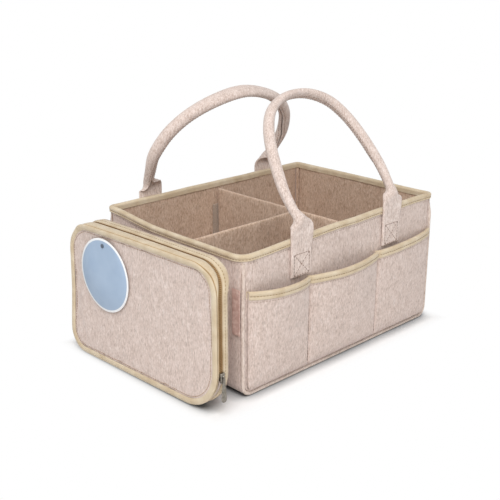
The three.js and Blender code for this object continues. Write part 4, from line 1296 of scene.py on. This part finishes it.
wire = bail_out * np.cos(turn)[:, None] + np.array([BAIL_BROAD, 0, 0]) * np.sin(turn)[:, None]
fit(sweep("zip_slider_bail", bail[:, None] + BAIL_WIRE * wire), nickel, "zip_slider", "zip_metal")

low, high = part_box("zip_pull")


def pull_plate(across, z, lift):
    """A flat tongue: narrow at the bail, widening to a round end, thicker along its rim."""
    share = (z - low.z) / (high.z - low.z)
    round_end = np.sqrt(np.clip(1 - np.clip(1 - share / PULL_ROUND, 0, 1) ** 2, 0.02, 1))
    half = PULL_SPREAD * (high.x - low.x) / 2 * round_end * (0.45 + 0.55 * smooth(1.0, 0.2, share))
    rim = 0.7 + 0.5 * abs(across) ** 4
    return xyz((low.x + high.x) / 2 + across * half, (low.y + high.y) / 2 - lift * rim, z)


up, thick = (low.z, high.z), high.y - low.y
pull = panel("zip_pull_plate", (-1, 1), up, thick, pull_plate, PULL_GAP, PULL_EDGE)
fit(pull, nickel, "zip_pull", "zip_metal", "zip_pull")

# Swing tag: a round of blue coated card with a white edge, left plain, hung on a dark plastic pin
# through the pouch front. The pin's profile is (radius, way out) in millimetres.
TAG_SIDES = 72
TAG_HOLE = 2 * MM
TAG_LIFT = 2.2 * MM
TAG_BEVEL = 0.2 * MM
TAG_EDGE = np.array([2.9, 2.5]) * MM
TAG_WHITE = "#f4f5f6"
TAG_BLUES = ((0.3, "#9fb4cd"), (0.7, "#adc0d6"))
PIN_SLATES = ((0.3, "#454f5c"), (0.7, "#5a6472"))
PIN_PROFILE = np.array([
    (0.02, -2.5), (1.25, -2.5), (1.25, 1.1), (2.4, 1.15), (2.68, 1.35), (2.6, 1.75), (2.1, 2.15),
    (1.2, 2.28), (0.02, 2.3),
]) * MM
low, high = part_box("swing_tag")
tag_y, tag_z, tag_radius = (low.y + high.y) / 2, (low.z + high.z) / 2, (high.y - low.y) / 2
pin_low, pin_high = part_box("tag_pin")
pin_y, pin_z = (pin_low.y + pin_high.y) / 2, (pin_low.z + pin_high.z) / 2


def card_paint(start, place):
    """Printed card: blue inside a white edge by the distance from the middle, over paper grain."""
    y = start.node("SeparateXYZ", {}, {"Vector": place}, "Y") - tag_y
    z = start.node("SeparateXYZ", {}, {"Vector": place}, "Z") - tag_z
    edge = eased(start, start.math("SQRT", y * y + z * z), *(tag_radius - TAG_EDGE))
    grain = noise(start, place, 0.6 * MM, 3, 0.6)
    blue = ramp(start, TAG_BLUES, noise(start, place, 24 * MM) * 0.6 + grain * 0.4)
    return {
        "Base Color": mix(start, edge, blue, tint(TAG_WHITE)), "Normal": bump(start, 0.15, 0.1 * MM, grain),
    }


def pin_paint(start, place):
    """Moulded plastic with a fine matt grain."""
    return {"Base Color": ramp(start, PIN_SLATES, noise(start, place, 0.4 * MM))}


card = finish_of("blue card", {"Roughness": 0.55, "Specular IOR Level": 0.4}, card_paint)
turn = np.linspace(0, 2 * np.pi, TAG_SIDES, endpoint=False)
spoke = xyz(np.cos(turn), np.sin(turn))[:, None]
reach = np.array([0, 0, 0.5, 1, 1, 1, 1, 0.5])[:, None]
bevels = np.array([0, 0, 0, 1, 0, 0, 1, 0])[:, None] * TAG_BEVEL
depths = [low.x, high.x, high.x, high.x, high.x - TAG_BEVEL, low.x + TAG_BEVEL, low.x, low.x]
hole, rim = [pin_y, pin_z] + TAG_HOLE * spoke, [tag_y, tag_z] + (tag_radius - bevels) * spoke
flat = hole * (1 - reach) + rim * reach
tag_card = sweep("tag_card", xyz(depths, flat[..., 0], flat[..., 1]), loop=True)
fit(tag_card, card, "swing_tag", "tag_card", "swing_tag")
pin_plastic = finish_of("pin plastic", {"Roughness": 0.45}, pin_paint)
radius, stand = PIN_PROFILE.T[..., None]
pin_head = xyz(pin_high.x - stand, pin_y + radius * np.cos(turn), pin_z + radius * np.sin(turn))
tag_pin = fit(sweep("tag_pin_head", pin_head), pin_plastic, "pouch_front", "tag_pin", "tag_pin")

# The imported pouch: it is fuller at its far end and its top, where the zip lies open between two
# wider tapes; its far upper corner is drawn in, and its flat back stays on the wall.
FLAP = 0.9 * MM
FAR_SIDE = 8 * MM
FAR_CORNER = (3 * MM, 3 * MM)
TOP_MOVES = np.array([0, 9, 5, 5, 7.5, 0]) * MM
FACE_MOVES = np.array([0, 0, 0, 0, 0, -3]) * MM
FAR_MOVES = np.array([0, -4, -4, -4, -4, -8]) * MM
FOOT_MOVES = np.array([0, -3, -3, -3, -3, -4]) * MM
TOP_SPAN, FACE_SPAN, FOOT_SPAN, CORNER_SPAN = (0.142, 0.172), (0.167, 0.18), (0.02, 0.09), (0.06, 0.15)
stations = -np.array([
    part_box("pouch_back_panel")[1].x, back_high.x, back_low.x, front_high.x + SEAM_SLACK / 2, front_high.x,
    front_high.x - FLAP,
])


def filled(points):
    """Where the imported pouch's points go: along x by four amounts that depend on how deep a point lies,
    each times its own share, an S over the top, over the bound edge of the front, evenly to the far side,
    and that again near the foot; the far upper corner also moves in and down."""
    x, y, z = points.T
    far = np.clip((y - pouch_low.y) / pouch_width, 0, 1)
    top = smooth(*TOP_SPAN, z)
    shares = (top, smooth(*FACE_SPAN, z), far, far * (1 - smooth(*FOOT_SPAN, z)))
    moves = (TOP_MOVES, FACE_MOVES, FAR_MOVES, FOOT_MOVES)
    x = x + sum(np.interp(-x, stations, move) * share for move, share in zip(moves, shares))
    inward = far ** 3 * (FAR_SIDE + FAR_CORNER[0] * smooth(*CORNER_SPAN, z))
    return xyz(x, y - inward, z - FAR_CORNER[1] * far ** 3 * top)


def hung(points):
    """The tag and its pin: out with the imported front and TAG_LIFT more, still about the pin's axis."""
    return np.column_stack([filled(points)[:, 0] - TAG_LIFT, points[:, 1:]])


packed = [part for part in fitted["pouch"] + fitted["pouch_front"] if part is not tag_pin]
reshape(packed + [hinge], filled)
reshape([tag_card, tag_pin], hung)
